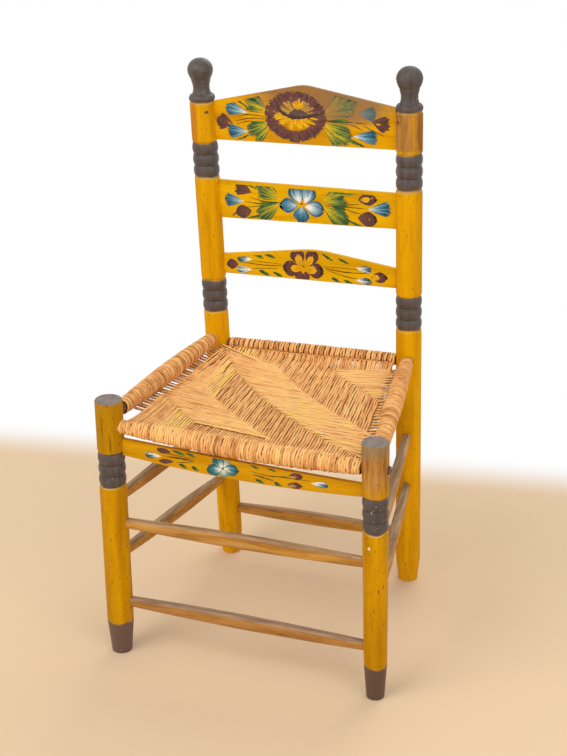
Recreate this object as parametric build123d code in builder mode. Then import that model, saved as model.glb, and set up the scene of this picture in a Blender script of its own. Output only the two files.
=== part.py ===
from build123d import *
import os
from collections import namedtuple
from math import pi, sin

os.makedirs("parts", exist_ok=True)

# A ladder-back side chair: four turned and hewn posts, three back slats, a painted
# front apron, seven stretchers and a seat of twisted rush woven round four rails.
# Millimetres. The front faces -Y, +X is the sitter's left, and the origin is on the
# floor under the middle of the chair's box.

# --- Stance -------------------------------------------------------------------
front_span = 442.7            # between the front post axes, at the floor
front_left_lean = 15.0        # how far in the left front post's top stands from its foot
front_right_splay = 3.9       # how far out the right front post's top stands from its foot
rear_span = 342.0             # between the rear post axes, at the floor
rear_shift = 2.7              # rear pair of posts off the front pair's middle, towards +X
rear_left_splay = 10.5
rear_right_splay = 2.0
seat_depth = 359.3            # front post axes to rear post axes
seat_height = 420.0           # the level that the rails, apron and front posts are set out from
back_height = 497.8           # seat level to the rear posts' tops, which the slats hang down from
front_left_proud = 40.4       # front post tops above the seat level
front_right_proud = 25.9

# --- Post turning ---------------------------------------------------------------
post_radius = 21.8            # of the two rear posts and the left front one
slim_post_top_radius = 20.7   # the right front post is slimmer and tapers to its foot
slim_post_low_radius = 18.0
hewn_flats = 8                # drawknife flats left on the plain stretches
hewn_depth = 1.0
front_left_turn = -9          # degrees that each post's flats are turned about its axis
front_right_turn = 22
rear_left_turn = 5
rear_right_turn = 0
groove_depth = 2.2            # of the turned grooves between beads
shoulder_length = 4.0         # cone from a groove up to the plain post
bead_count = 3
ring_length = 58.6            # a group of three beads
front_left_rings_drop = 106.4    # seat level down to the bottom of a front ring group
front_right_rings_drop = 121.0
rear_lower_rings_drop = 435.8    # rear posts' tops down to the bottom of a rear ring group
rear_upper_rings_drop = 196.3
front_foot_height = 59.7
front_foot_radius = 16.6
slim_foot_radius = 14.2
rear_foot_height = 45.0
rear_foot_radius = 16.6
foot_round = 1.6
post_top_round = 2.0

# --- Finial on each rear post ----------------------------------------------------
finial_radius = 21.2          # of the ball
finial_crown = 19.6           # from the ball's widest ring up to its top
finial_flat = 1.7             # lathe-centre flat on the top
finial_shoulder_radius = 19.5    # of the ball halfway from the band to its widest ring
finial_collar_radius = 21.7
finial_band_radius = 15.9
finial_neck_radius = 13.7
finial_collar_step = 1.7      # ledge where the collar meets the neck
ball_drop = 14.6              # from the widest ring down to the band
band_length = 2.6
neck_length = 21.5
collar_length = 12.0

# --- Slats and apron --------------------------------------------------------------
board_thickness = 7.0
slat_set_back = 1.0           # slats' middle plane behind the post axes
crest_drop = 133.5            # rear posts' tops down to the slat's bottom edge
crest_end_left = 59.8         # top edge over the bottom edge, at each post axis
crest_end_right = 63.3
crest_peak = 96.9             # and where its two slopes meet
crest_peak_x = -0.5           # off the front pair's middle
crest_rounding = 13.6         # along each slope from where they would meet
middle_slat_drop_left = 267.8
middle_slat_drop_right = 264.4
middle_slat_top_left = 202.5
middle_slat_top_right = 205.5
lower_slat_drop = 366.7
lower_slat_end_left = 31.2
lower_slat_end_right = 29.9
lower_slat_peak = 54.5
lower_slat_peak_x = 13.9
lower_slat_rounding = 27.0
apron_drop_left = 22.6        # seat level down to the apron's top edge
apron_drop_right = 45.9
apron_height_left = 26.6
apron_height_right = 19.0
apron_sag = 2.0               # how far its top edge sags below a straight line
apron_belly = 10.7            # how far its bottom edge bows below a straight line
board_tenon_shoulder = 4.0
board_tenon_tip = 7.0         # post axis to a board tenon's end
pin_radius = 1.6
pin_length = 13.0
pin_drop = 84.8

# --- Rails: rise of their axes over the seat level, at each post axis ----------------
front_rail_left = -2.7
front_rail_right = -17.0
rear_rail_left = 0.0
rear_rail_right = 3.2
left_rail_front = 10.5
left_rail_rear = 13.3
right_rail_front = -7.5
right_rail_rear = 9.5
rail_radius = 8.6
rail_tenon_radius = 6.4
rail_tenon_proud = 2.5        # the front rail's tenon comes through the right front post

# --- Stretchers: height of their axes over the floor, at each post axis ----------------
front_upper_left = 244.5
front_upper_right = 240.5
front_lower_left = 97.0
front_lower_right = 91.0
rear_stretcher_left = 92.0
rear_stretcher_right = 90.0
left_upper_front = 281.5
left_upper_rear = 273.2
left_lower_front = 178.5
left_lower_rear = 157.3
right_upper_front = 270.5
right_upper_rear = 289.0
right_lower_front = 164.7
right_lower_rear = 196.0
stretcher_tenon_radius = 6.0
stretcher_end_width = 12.6
stretcher_end_height = 15.0
stretcher_mid_width = 15.0
stretcher_mid_height = 23.4
stretcher_corner = 3.2
stretcher_stations = 8
tenon_web = 0.8               # wood left between two tenons that meet in a post

# --- Rush seat ----------------------------------------------------------------------
front_roll_end_radius = 10.6
front_roll_mid_radius = 16.2
front_roll_sag = 3.4
rear_roll_end_radius = 10.4
rear_roll_mid_radius = 11.5
side_roll_end_radius = 10.4
left_roll_mid_radius = 16.0
right_roll_mid_radius = 14.8
left_roll_setback = 14.0      # bare rail between the left front post and its roll
roll_stations = 4
weave_thickness = 4.0         # of each of the two layers
weave_front_lift = 9.4        # upper face above the front rail's axis, in the seat's middle
weave_rear_drop = 10.6        # upper face below the rear rail's axis, in the seat's middle
weave_side_drop = 8.6         # upper face below the side rails' axes
weave_dish = 1.8              # how far the seat's middle sinks below the line front to rear
corner_opening = 16.0         # open corner between the weave and each front post

# --- Clearances ------------------------------------------------------------------------
fit_gap = 0.1                 # between a tenon and its mortise
end_gap = 0.5                 # beyond a tenon's end
soft_gap = 0.3                # between rush and wood, and between rush and rush

# --- Layout: the four posts as foot and top of their axes ----------------------------------
Post = namedtuple("Post", "foot top low_radius top_radius")
front_left_height = seat_height + front_left_proud
front_right_height = seat_height + front_right_proud
rear_height = seat_height + back_height
rail_share = (seat_height + front_rail_right) / front_right_height
slim_radius_at_rail = slim_post_low_radius + (slim_post_top_radius - slim_post_low_radius) * rail_share
left_reach = front_span / 2 + post_radius - front_left_lean * front_foot_height / front_left_height
right_reach = front_span / 2 + front_right_splay * rail_share + slim_radius_at_rail + rail_tenon_proud
middle_x = (left_reach - right_reach) / 2
front_y = -(seat_depth + max(finial_radius, post_radius) - post_radius) / 2
rear_y = front_y + seat_depth


def standing(foot_x, y, lean, height, low_radius=post_radius, top_radius=post_radius):
    # A post that leans by so much towards +X.
    return Post(Vector(foot_x, y, 0), Vector(foot_x + lean, y, height), low_radius, top_radius)


front_left = standing(middle_x - front_span / 2, front_y, front_left_lean, front_left_height)
front_right = standing(
    middle_x + front_span / 2, front_y, front_right_splay, front_right_height,
    slim_post_low_radius, slim_post_top_radius)
rear_middle_x = middle_x + rear_shift
rear_left = standing(rear_middle_x - rear_span / 2, rear_y, -rear_left_splay, rear_height)
rear_right = standing(rear_middle_x + rear_span / 2, rear_y, rear_right_splay, rear_height)


def on_axis(post, height):
    return post.foot + (post.top - post.foot) * (height / post.top.Z)


def radius_at(post, height):
    return post.low_radius + (post.top_radius - post.low_radius) * height / post.top.Z


def post_plane(post):
    up = (post.top - post.foot).normalized()
    return Plane(origin=post.foot, x_dir=Vector(0, 1, 0).cross(up), z_dir=up)


# A member runs from one post axis to another, and its round tenons stop short of the
# axes so that tenons from two sides never meet.
Member = namedtuple("Member", "start_post start end_post end tenon_radius through")


def member(start_post, start_height, end_post, end_height, tenon_radius, through=False):
    start = on_axis(start_post, start_height)
    end = on_axis(end_post, end_height)
    return Member(start_post, start, end_post, end, tenon_radius, through)


def seat_rail(start_post, start_rise, end_post, end_rise, through=False):
    start_height = seat_height + start_rise
    end_height = seat_height + end_rise
    return member(start_post, start_height, end_post, end_height, rail_tenon_radius, through)


rails = {
    "seat_rail_front": seat_rail(front_left, front_rail_left, front_right, front_rail_right, through=True),
    "seat_rail_rear": seat_rail(rear_left, rear_rail_left, rear_right, rear_rail_right),
    "seat_rail_left": seat_rail(front_left, left_rail_front, rear_left, left_rail_rear),
    "seat_rail_right": seat_rail(front_right, right_rail_front, rear_right, right_rail_rear),
}
bar_tenon = stretcher_tenon_radius
stretchers = {
    "front_stretcher_upper": member(front_left, front_upper_left, front_right, front_upper_right, bar_tenon),
    "front_stretcher_lower": member(front_left, front_lower_left, front_right, front_lower_right, bar_tenon),
    "rear_stretcher": member(rear_left, rear_stretcher_left, rear_right, rear_stretcher_right, bar_tenon),
    "left_stretcher_upper": member(front_left, left_upper_front, rear_left, left_upper_rear, bar_tenon),
    "left_stretcher_lower": member(front_left, left_lower_front, rear_left, left_lower_rear, bar_tenon),
    "right_stretcher_upper": member(front_right, right_upper_front, rear_right, right_upper_rear, bar_tenon),
    "right_stretcher_lower": member(front_right, right_lower_front, rear_right, right_lower_rear, bar_tenon),
}


def member_length(bar):
    return (bar.end - bar.start).length


def along(bar, distance):
    direction = (bar.end - bar.start).normalized()
    side = direction.cross(Vector(0, 0, 1)).normalized()
    return Plane(origin=bar.start + direction * distance, x_dir=side, z_dir=direction)


def tenon_tip(bar):
    return bar.tenon_radius + tenon_web


def far_tip(bar):
    if bar.through:
        return member_length(bar) + radius_at(bar.end_post, bar.end.Z) + rail_tenon_proud
    return member_length(bar) - tenon_tip(bar)


def scribe(posts, gap):
    # Cuts the ends of a rail, board or roll to the round of the posts that it meets.
    for post in posts:
        plane = post_plane(post)
        with BuildSketch(plane) as low_round:
            Circle(post.low_radius + gap)
        with BuildSketch(plane.offset(post.top.Z)) as top_round:
            Circle(post.top_radius + gap)
        loft([low_round.sketch, top_round.sketch], ruled=True, mode=Mode.SUBTRACT)


# --- Boards: outlines of the slats and the apron between two posts ------------------------
Board = namedtuple("Board", "left_post right_post y left_low left_high right_low right_high")
crest_bottom = rear_height - crest_drop
lower_slat_bottom = rear_height - lower_slat_drop
apron_top_left = seat_height - apron_drop_left
apron_top_right = seat_height - apron_drop_right
apron_low_left = apron_top_left - apron_height_left
apron_low_right = apron_top_right - apron_height_right


def back_slat(left_low, left_high, right_low, right_high):
    return Board(rear_left, rear_right, rear_y + slat_set_back, left_low, left_high, right_low, right_high)


boards = {
    "crest_slat": back_slat(
        crest_bottom, crest_bottom + crest_end_left, crest_bottom, crest_bottom + crest_end_right),
    "middle_slat": back_slat(
        rear_height - middle_slat_drop_left, rear_height - middle_slat_top_left,
        rear_height - middle_slat_drop_right, rear_height - middle_slat_top_right),
    "lower_slat": back_slat(
        lower_slat_bottom, lower_slat_bottom + lower_slat_end_left,
        lower_slat_bottom, lower_slat_bottom + lower_slat_end_right),
    "front_apron": Board(
        front_left, front_right, front_y, apron_low_left, apron_top_left, apron_low_right, apron_top_right),
}


def board_tenon(board, side):
    # Low and high edge of a board's tenon, and its root and tip in X. The shoulders keep
    # the tenon clear of the beads and the collar above and below it.
    low = board.left_low if side < 0 else board.right_low
    high = board.left_high if side < 0 else board.right_high
    post = board.left_post if side < 0 else board.right_post
    axis_x = on_axis(post, (low + high) / 2).X
    tip = axis_x - side * board_tenon_tip
    root = axis_x - side * (post.top_radius + board_thickness)
    return low + board_tenon_shoulder, high - board_tenon_shoulder, root, tip


# --- Posts ---------------------------------------------------------------------------------
def groove_at(post, height):
    return Vector(radius_at(post, height) - groove_depth, height)


def plain_at(post, height):
    return Vector(radius_at(post, height), height)


def plain_stretch(post, low, high):
    # One hewn stretch of a post between two grooves.
    low_shoulder = plain_at(post, low + shoulder_length)
    high_shoulder = plain_at(post, high - shoulder_length)
    Polyline(groove_at(post, low), low_shoulder, high_shoulder, groove_at(post, high))


def ring_group(post, low):
    step = ring_length / bead_count
    for bead in range(bead_count):
        start = low + bead * step
        ThreePointArc(
            groove_at(post, start), plain_at(post, start + step / 2), groove_at(post, start + step))


def foot_outline(post, foot_radius, foot_height, high):
    # The foot runs a little below the floor, where it is cut off level.
    ankle = plain_at(post, foot_height)
    shoulder = plain_at(post, high - shoulder_length)
    Polyline((0, -foot_round), (foot_radius, -foot_round), ankle, shoulder, groove_at(post, high))


def flat_top_outline(post, low, height):
    edge = plain_at(post, height - post_top_round)
    rim = Vector(edge.X - post_top_round, height)
    Polyline(groove_at(post, low), plain_at(post, low + shoulder_length), edge)
    RadiusArc(edge, rim, -post_top_round)
    Polyline(rim, (0, height), (0, -foot_round))


ball_ring = rear_height - finial_crown
band_top = ball_ring - ball_drop
neck_top = band_top - band_length
collar_top = neck_top - neck_length
collar_low = collar_top - collar_length


def finial_outline(post):
    # Collar bead, waisted neck, a small band and the ball, from the bottom up.
    collar_root = finial_band_radius + finial_collar_step
    ThreePointArc(
        groove_at(post, collar_low), (finial_collar_radius, collar_low + collar_length / 2),
        (collar_root, collar_top))
    Line((collar_root, collar_top), (finial_band_radius, collar_top))
    ThreePointArc(
        (finial_band_radius, collar_top), (finial_neck_radius, collar_top + neck_length / 2),
        (finial_band_radius, neck_top))
    Line((finial_band_radius, neck_top), (finial_band_radius, band_top))
    ball_side = Vector(finial_radius, ball_ring)
    ThreePointArc(
        (finial_band_radius, band_top),
        (finial_shoulder_radius, ball_ring - ball_drop / 2),
        ball_side)
    RadiusArc(ball_side, (finial_flat, rear_height), -(finial_radius - finial_flat))
    Line((finial_flat, rear_height), (0, rear_height))
    Line((0, rear_height), (0, -foot_round))


def flat_cutter(post, low, high, flat_turn):
    # What the drawknife takes off one plain stretch.
    plane = post_plane(post)
    with BuildPart() as chips:
        with BuildSketch(plane.offset(low)):
            Circle(post.top_radius + hewn_depth)
        extrude(amount=high - low)
        for height in (low, high):
            with BuildSketch(plane.offset(height)):
                RegularPolygon(
                    radius_at(post, height) - hewn_depth, hewn_flats, major_radius=False, rotation=flat_turn)
        loft(ruled=True, mode=Mode.SUBTRACT)
    return chips.part


def make_post(name, post, flat_turn, rings, foot):
    plane = post_plane(post)
    profile = Plane(origin=plane.origin, x_dir=plane.x_dir, z_dir=-plane.y_dir)
    is_rear = post in (rear_left, rear_right)
    # Plain stretches lie between the floor, the ring groups and the collar or the top.
    top = collar_low if is_rear else post.top.Z
    lows = [0] + [ring + ring_length for ring in rings]
    highs = list(rings) + [top]
    chips = [flat_cutter(post, low, high, flat_turn) for low, high in zip(lows, highs)]
    with BuildPart() as body:
        with BuildSketch(profile):
            with BuildLine():
                foot_outline(post, *foot, highs[0])
                for ring in rings:
                    ring_group(post, ring)
                if is_rear:
                    for low, high in zip(lows[1:], highs[1:]):
                        plain_stretch(post, low, high)
                    finial_outline(post)
                else:
                    flat_top_outline(post, lows[1], top)
            make_face()
        revolve(axis=Axis(plane.origin, plane.z_dir))
        for chip in chips:
            add(chip, mode=Mode.SUBTRACT)
        split(bisect_by=Plane.XY, keep=Keep.TOP)
        fillet(body.faces().sort_by(Axis.Z)[0].edges(), foot_round)
        # Round mortises for every rail and stretcher that ends in this post.
        for bar in list(rails.values()) + list(stretchers.values()):
            tip = tenon_tip(bar) - end_gap
            reach = post.top_radius + 2 * hewn_depth
            if bar.start_post is post:
                with BuildSketch(along(bar, tip)):
                    Circle(bar.tenon_radius + fit_gap)
                extrude(amount=reach - tip, mode=Mode.SUBTRACT)
            if bar.end_post is post:
                inner = -reach if bar.through else tip
                with BuildSketch(along(bar, member_length(bar) - reach)):
                    Circle(bar.tenon_radius + fit_gap)
                extrude(amount=reach - inner, mode=Mode.SUBTRACT)
        # Slots for the slats or the apron.
        for board in boards.values():
            for side in (-1, 1):
                if post is (board.left_post if side < 0 else board.right_post):
                    low, high, root, tip = board_tenon(board, side)
                    slot_end = tip + side * end_gap
                    with Locations(((root + slot_end) / 2, board.y, (low + high) / 2)):
                        Box(
                            abs(root - slot_end), board_thickness + 2 * fit_gap,
                            high - low + 2 * fit_gap, mode=Mode.SUBTRACT)
        # Hole for the pin that locks the crest slat.
        if is_rear:
            with BuildSketch(pin_plane(post)):
                Circle(pin_radius + fit_gap)
            extrude(amount=pin_length, mode=Mode.SUBTRACT)
    body.part.label = name
    export_step(body.part, f"parts/{name}.step")
    return body.part


def pin_plane(post):
    # A pin is driven in from the front, off the post's middle so that it meets the tenon.
    side = 1 if post is rear_left else -1
    pin_height = rear_height - pin_drop
    radius = radius_at(post, pin_height)
    head = on_axis(post, pin_height) + Vector(side * (board_tenon_tip + radius) / 2, -radius, 0)
    return Plane(origin=head, x_dir=(1, 0, 0), z_dir=(0, 1, 0))


front_foot = (front_foot_radius, front_foot_height)
slim_foot = (slim_foot_radius, front_foot_height)
rear_foot = (rear_foot_radius, rear_foot_height)
rear_rings = [rear_height - rear_lower_rings_drop, rear_height - rear_upper_rings_drop]
make_post("front_post_left", front_left, front_left_turn, [seat_height - front_left_rings_drop], front_foot)
make_post(
    "front_post_right", front_right, front_right_turn, [seat_height - front_right_rings_drop], slim_foot)
make_post("rear_post_left", rear_left, rear_left_turn, rear_rings, rear_foot)
make_post("rear_post_right", rear_right, rear_right_turn, rear_rings, rear_foot)


# --- Boards -------------------------------------------------------------------------------
def crown(left, right, peak, rounding):
    # A board's top edge: two straight slopes that roll over where they would meet.
    shoulders = [peak + (end - peak).normalized() * rounding for end in (left, right)]
    Line(left, shoulders[0])
    Bezier(shoulders[0], peak, shoulders[1])
    Line(shoulders[1], right)


def make_board(name, board, draw_top, draw_bottom):
    left_x = on_axis(board.left_post, board.left_high).X
    right_x = on_axis(board.right_post, board.right_high).X
    front_face = Plane(origin=(0, board.y + board_thickness / 2, 0), x_dir=(1, 0, 0), z_dir=(0, -1, 0))
    with BuildPart() as body:
        with BuildSketch(front_face):
            with BuildLine():
                draw_top(Vector(left_x, board.left_high), Vector(right_x, board.right_high))
                draw_bottom(Vector(left_x, board.left_low), Vector(right_x, board.right_low))
                Line((left_x, board.left_low), (left_x, board.left_high))
                Line((right_x, board.right_low), (right_x, board.right_high))
            make_face()
        extrude(amount=board_thickness)
        scribe((board.left_post, board.right_post), fit_gap + max(0, finial_collar_radius - post_radius))
        for side in (-1, 1):
            low, high, root, tip = board_tenon(board, side)
            with Locations(((root + tip) / 2, board.y, (low + high) / 2)):
                Box(abs(root - tip), board_thickness, high - low)
        if name == "crest_slat":
            for post in (rear_left, rear_right):
                with BuildSketch(pin_plane(post)):
                    Circle(pin_radius + fit_gap)
                extrude(amount=pin_length, mode=Mode.SUBTRACT)
    body.part.label = name
    export_step(body.part, f"parts/{name}.step")


def straight(left, right):
    Line(left, right)


def apron_top(left, right):
    ThreePointArc(left, (left + right) / 2 - Vector(0, apron_sag), right)


def crest_top(left, right):
    crown(left, right, Vector(middle_x + crest_peak_x, crest_bottom + crest_peak), crest_rounding)


def lower_slat_top(left, right):
    peak = Vector(middle_x + lower_slat_peak_x, lower_slat_bottom + lower_slat_peak)
    crown(left, right, peak, lower_slat_rounding)


def apron_bottom(left, right):
    ThreePointArc(left, (left + right) / 2 - Vector(0, apron_belly), right)


make_board("crest_slat", boards["crest_slat"], crest_top, straight)
make_board("middle_slat", boards["middle_slat"], straight, straight)
make_board("lower_slat", boards["lower_slat"], lower_slat_top, straight)
make_board("front_apron", boards["front_apron"], apron_top, apron_bottom)

with BuildPart() as crest_pins:
    for post in (rear_left, rear_right):
        with BuildSketch(pin_plane(post)):
            Circle(pin_radius)
        extrude(amount=pin_length - end_gap)
crest_pins.part.label = "crest_pins"
export_step(crest_pins.part, "parts/crest_pins.step")


# --- Rails and stretchers ---------------------------------------------------------------------
def tenon_core(bar):
    with BuildSketch(along(bar, tenon_tip(bar))) as core:
        Circle(bar.tenon_radius)
    extrude(core.sketch, amount=far_tip(bar) - tenon_tip(bar))


for name, bar in rails.items():
    with BuildPart() as rail:
        with BuildSketch(along(bar, 0)):
            Circle(rail_radius)
        extrude(amount=member_length(bar))
        scribe((bar.start_post, bar.end_post), fit_gap)
        tenon_core(bar)
    rail.part.label = name
    export_step(rail.part, f"parts/{name}.step")

for name, bar in stretchers.items():
    with BuildPart() as stretcher:
        for station in range(stretcher_stations + 1):
            share = station / stretcher_stations
            swell = sin(pi * share)
            width = stretcher_end_width + (stretcher_mid_width - stretcher_end_width) * swell
            height = stretcher_end_height + (stretcher_mid_height - stretcher_end_height) * swell
            with BuildSketch(along(bar, member_length(bar) * share)) as section:
                Rectangle(width, height)
                chamfer(section.vertices(), stretcher_corner)
        loft(ruled=True)
        scribe((bar.start_post, bar.end_post), fit_gap)
        tenon_core(bar)
    stretcher.part.label = name
    export_step(stretcher.part, f"parts/{name}.step")


# --- Rush rolled round the rails ------------------------------------------------------------------
def make_roll(name, bar, end_radius, mid_radius, sag=0, first=0):
    # The roll starts this far along the rail's axis and is fullest in the middle.
    run = member_length(bar) - first
    with BuildPart() as roll:
        for station in range(roll_stations + 1):
            share = station / roll_stations
            swell = sin(pi * share)
            with BuildSketch(along(bar, first + run * share)):
                with Locations((0, sag * swell)):
                    Circle(end_radius + (mid_radius - end_radius) * swell)
        loft()
        with BuildSketch(along(bar, 0)):
            Circle(rail_radius + soft_gap)
        extrude(amount=member_length(bar), mode=Mode.SUBTRACT)
        scribe((bar.start_post, bar.end_post), soft_gap)
    roll.part.label = name
    export_step(roll.part, f"parts/{name}.step")


make_roll(
    "rush_roll_front", rails["seat_rail_front"],
    front_roll_end_radius, front_roll_mid_radius, sag=front_roll_sag)
make_roll("rush_roll_rear", rails["seat_rail_rear"], rear_roll_end_radius, rear_roll_mid_radius)
make_roll(
    "rush_roll_left", rails["seat_rail_left"],
    side_roll_end_radius, left_roll_mid_radius, first=post_radius + left_roll_setback)
make_roll("rush_roll_right", rails["seat_rail_right"], side_roll_end_radius, right_roll_mid_radius)


# --- Woven seat between the rolls --------------------------------------------------------------------
def rail_at(bar, share):
    return bar.start + (bar.end - bar.start) * share


def make_weave(name, drop):
    # A thin dished sheet. Its sides follow the side rails, its ends the front and rear rails.
    front_edge = front_y + front_roll_mid_radius + soft_gap
    rear_edge = rear_y - rear_roll_mid_radius - soft_gap
    front_middle = rail_at(rails["seat_rail_front"], 0.5).Z + weave_front_lift
    rear_middle = rail_at(rails["seat_rail_rear"], 0.5).Z - weave_rear_drop
    with BuildPart() as weave:
        for share in (0, 0.5, 1):
            y = front_edge + (rear_edge - front_edge) * share
            back = (y - front_y) / seat_depth
            left = rail_at(rails["seat_rail_left"], back)
            right = rail_at(rails["seat_rail_right"], back)
            middle_z = front_middle + (rear_middle - front_middle) * share - weave_dish * sin(pi * share)
            side_drop = weave_side_drop + drop
            top_left = Vector(left.X + left_roll_mid_radius + 2 * soft_gap, left.Z - side_drop)
            top_right = Vector(right.X - right_roll_mid_radius - 2 * soft_gap, right.Z - side_drop)
            top_middle = Vector((left.X + right.X) / 2, middle_z - drop)
            depth = Vector(0, weave_thickness)
            with BuildSketch(Plane(origin=(0, y, 0), x_dir=(1, 0, 0), z_dir=(0, -1, 0))):
                with BuildLine():
                    ThreePointArc(top_left, top_middle, top_right)
                    Line(top_right, top_right - depth)
                    ThreePointArc(top_right - depth, top_middle - depth, top_left - depth)
                    Line(top_left - depth, top_left)
                make_face()
        loft()
        for post in (front_left, front_right):
            with BuildSketch(post_plane(post)):
                Circle(post.top_radius + corner_opening)
            extrude(amount=post.top.Z, mode=Mode.SUBTRACT)
        for post in (rear_left, rear_right):
            with BuildSketch(post_plane(post)):
                Circle(post.top_radius + soft_gap)
            extrude(amount=post.top.Z, mode=Mode.SUBTRACT)
    weave.part.label = name
    export_step(weave.part, f"parts/{name}.step")


# The lower layer lies just under the upper one.
make_weave("seat_weave_top", 0)
make_weave("seat_weave_under", weave_thickness + 2 * soft_gap)
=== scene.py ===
from math import cos, pi, radians, sin, sqrt

import bpy
from mathutils import Matrix, Vector, noise


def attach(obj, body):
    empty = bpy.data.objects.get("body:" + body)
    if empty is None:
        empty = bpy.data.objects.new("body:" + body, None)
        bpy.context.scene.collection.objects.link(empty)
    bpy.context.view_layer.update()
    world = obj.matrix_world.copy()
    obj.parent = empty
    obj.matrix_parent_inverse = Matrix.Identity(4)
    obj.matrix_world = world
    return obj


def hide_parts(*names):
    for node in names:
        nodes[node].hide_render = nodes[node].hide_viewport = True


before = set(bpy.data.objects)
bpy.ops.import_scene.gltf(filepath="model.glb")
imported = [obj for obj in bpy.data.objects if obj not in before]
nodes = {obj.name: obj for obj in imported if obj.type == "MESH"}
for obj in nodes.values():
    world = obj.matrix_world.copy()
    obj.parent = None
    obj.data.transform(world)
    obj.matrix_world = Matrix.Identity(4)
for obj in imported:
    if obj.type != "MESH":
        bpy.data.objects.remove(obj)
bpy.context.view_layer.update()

mm = 0.001
scene = bpy.context.scene


def linear(hexColour):
    # An sRGB hex colour as linear red, green, blue and full alpha.
    channels = [int(hexColour[i:i + 2], 16) / 255 for i in (1, 3, 5)]
    return tuple(c / 12.92 if c <= 0.04045 else ((c + 0.055) / 1.055) ** 2.4 for c in channels) + (1.0,)


def addNode(tree, kind, inputs=None, stops=None, **settings):
    # Adds one node. An input is a value, a hex colour, a socket, or a node whose first output in use is
    # taken. A ramp's stops pair a position with a hex colour or a grey.
    node = tree.nodes.new(kind)
    for name, value in settings.items():
        setattr(node, name, value)
    for number, (position, shade) in enumerate(stops or []):
        ramp = node.color_ramp.elements
        element = ramp[number] if number < 2 else ramp.new(position)
        element.position = position
        element.color = linear(shade) if isinstance(shade, str) else (shade, shade, shade, 1)
    for socket, value in (inputs or {}).items():
        if isinstance(value, bpy.types.Node):
            value = next(output for output in value.outputs if output.enabled)
        if isinstance(value, bpy.types.NodeSocket):
            tree.links.new(value, node.inputs[socket])
        elif isinstance(value, str) and value.startswith("#"):
            node.inputs[socket].default_value = linear(value)
        else:
            node.inputs[socket].default_value = value
    return node


def newMaterial(name):
    material = bpy.data.materials.new(name)
    material.use_nodes = True
    material.node_tree.nodes.clear()
    return material


# The camera, the floor and the light.
camera = {
    "place": (781.6 * mm, -2006.2 * mm, 1381.5 * mm),
    "turn": 0.365727,        # radians round the upright, from square on to the chair's front
    "tip": 0.410228,         # radians that it looks down
    "roll": -0.0359981,
    "lens": 69.35,
}


def makeCamera():
    turn, tip, roll = camera["turn"], camera["tip"], camera["roll"]
    back = Vector((sin(turn) * cos(tip), -cos(turn) * cos(tip), sin(tip)))
    level = Vector((0, 0, 1)).cross(back).normalized()
    upright = back.cross(level)
    right = level * cos(roll) + upright * sin(roll)
    up = upright * cos(roll) - level * sin(roll)
    data = bpy.data.cameras.new("studioCamera")
    data.lens = camera["lens"]
    data.sensor_fit = "AUTO"
    eye = bpy.data.objects.new("studioCamera", data)
    eye.matrix_world = Matrix.Translation(camera["place"]) @ Matrix((right, up, back)).transposed().to_4x4()
    scene.collection.objects.link(eye)
    scene.camera = eye


def seenShare(tree):
    # 1 for what is seen straight on, in a shiny surface or through glass, 0 for the light it casts.
    ray = addNode(tree, "ShaderNodeLightPath").outputs
    shiny = addNode(
        tree, "ShaderNodeMath", {0: ray["Is Camera Ray"], 1: ray["Is Glossy Ray"]}, operation="ADD")
    return addNode(
        tree, "ShaderNodeMath", {0: shiny, 1: ray["Is Transmission Ray"]}, operation="ADD", use_clamp=True)


floor = {
    "half": 6.0,                          # metres from the middle to each side
    "colour": "#EACDA8",
    "wallY": 0.50, "wallSlope": 0.12,     # the line behind the chair where the floor turns white
    "blend": 0.16,                        # how far it takes to do so
    "roughness": 0.7, "specular": 0.2,
}


def makeFloor():
    # Satin floor boards, as one plain pale sheet. Behind the chair it is seen to fade to white.
    mesh = bpy.data.meshes.new("floor")
    half = floor["half"]
    corners = [(-half, -half, 0), (half, -half, 0), (half, half, 0), (-half, half, 0)]
    mesh.from_pydata(corners, [], [(0, 1, 2, 3)])
    slab = bpy.data.objects.new("floor", mesh)
    scene.collection.objects.link(slab)
    material = newMaterial("paleFloor")
    tree = material.node_tree
    place = addNode(tree, "ShaderNodeTexCoord").outputs["Object"]
    beyond = addNode(
        tree, "ShaderNodeVectorMath", {0: place, 1: (-floor["wallSlope"], 1.0, 0.0)}, operation="DOT_PRODUCT")
    fade = addNode(
        tree, "ShaderNodeMapRange",
        {"Value": beyond, "From Min": floor["wallY"], "From Max": floor["wallY"] + floor["blend"]},
        interpolation_type="SMOOTHSTEP")
    share = addNode(tree, "ShaderNodeMath", {0: fade, 1: seenShare(tree)}, operation="MULTIPLY")
    shader = addNode(
        tree, "ShaderNodeBsdfPrincipled",
        {"Base Color": floor["colour"], "Roughness": floor["roughness"],
         "Specular IOR Level": floor["specular"]})
    white = addNode(tree, "ShaderNodeEmission", {"Color": "#FFFFFF", "Strength": 1.0})
    both = addNode(tree, "ShaderNodeMixShader", {0: share, 1: shader, 2: white})
    addNode(tree, "ShaderNodeOutputMaterial", {"Surface": both})
    mesh.materials.append(material)


lights = {
    "key": {"place": (-1.5, -2.4, 2.9), "size": 2.2, "power": 56},
    "fill": {"place": (2.4, -1.9, 2.2), "size": 2.4, "power": 34},
    "back": {"place": (0.4, 2.4, 2.6), "size": 2.2, "power": 30},
}
lightAim = (0, 0, 0.4)
worldStrength = 0.55


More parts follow.
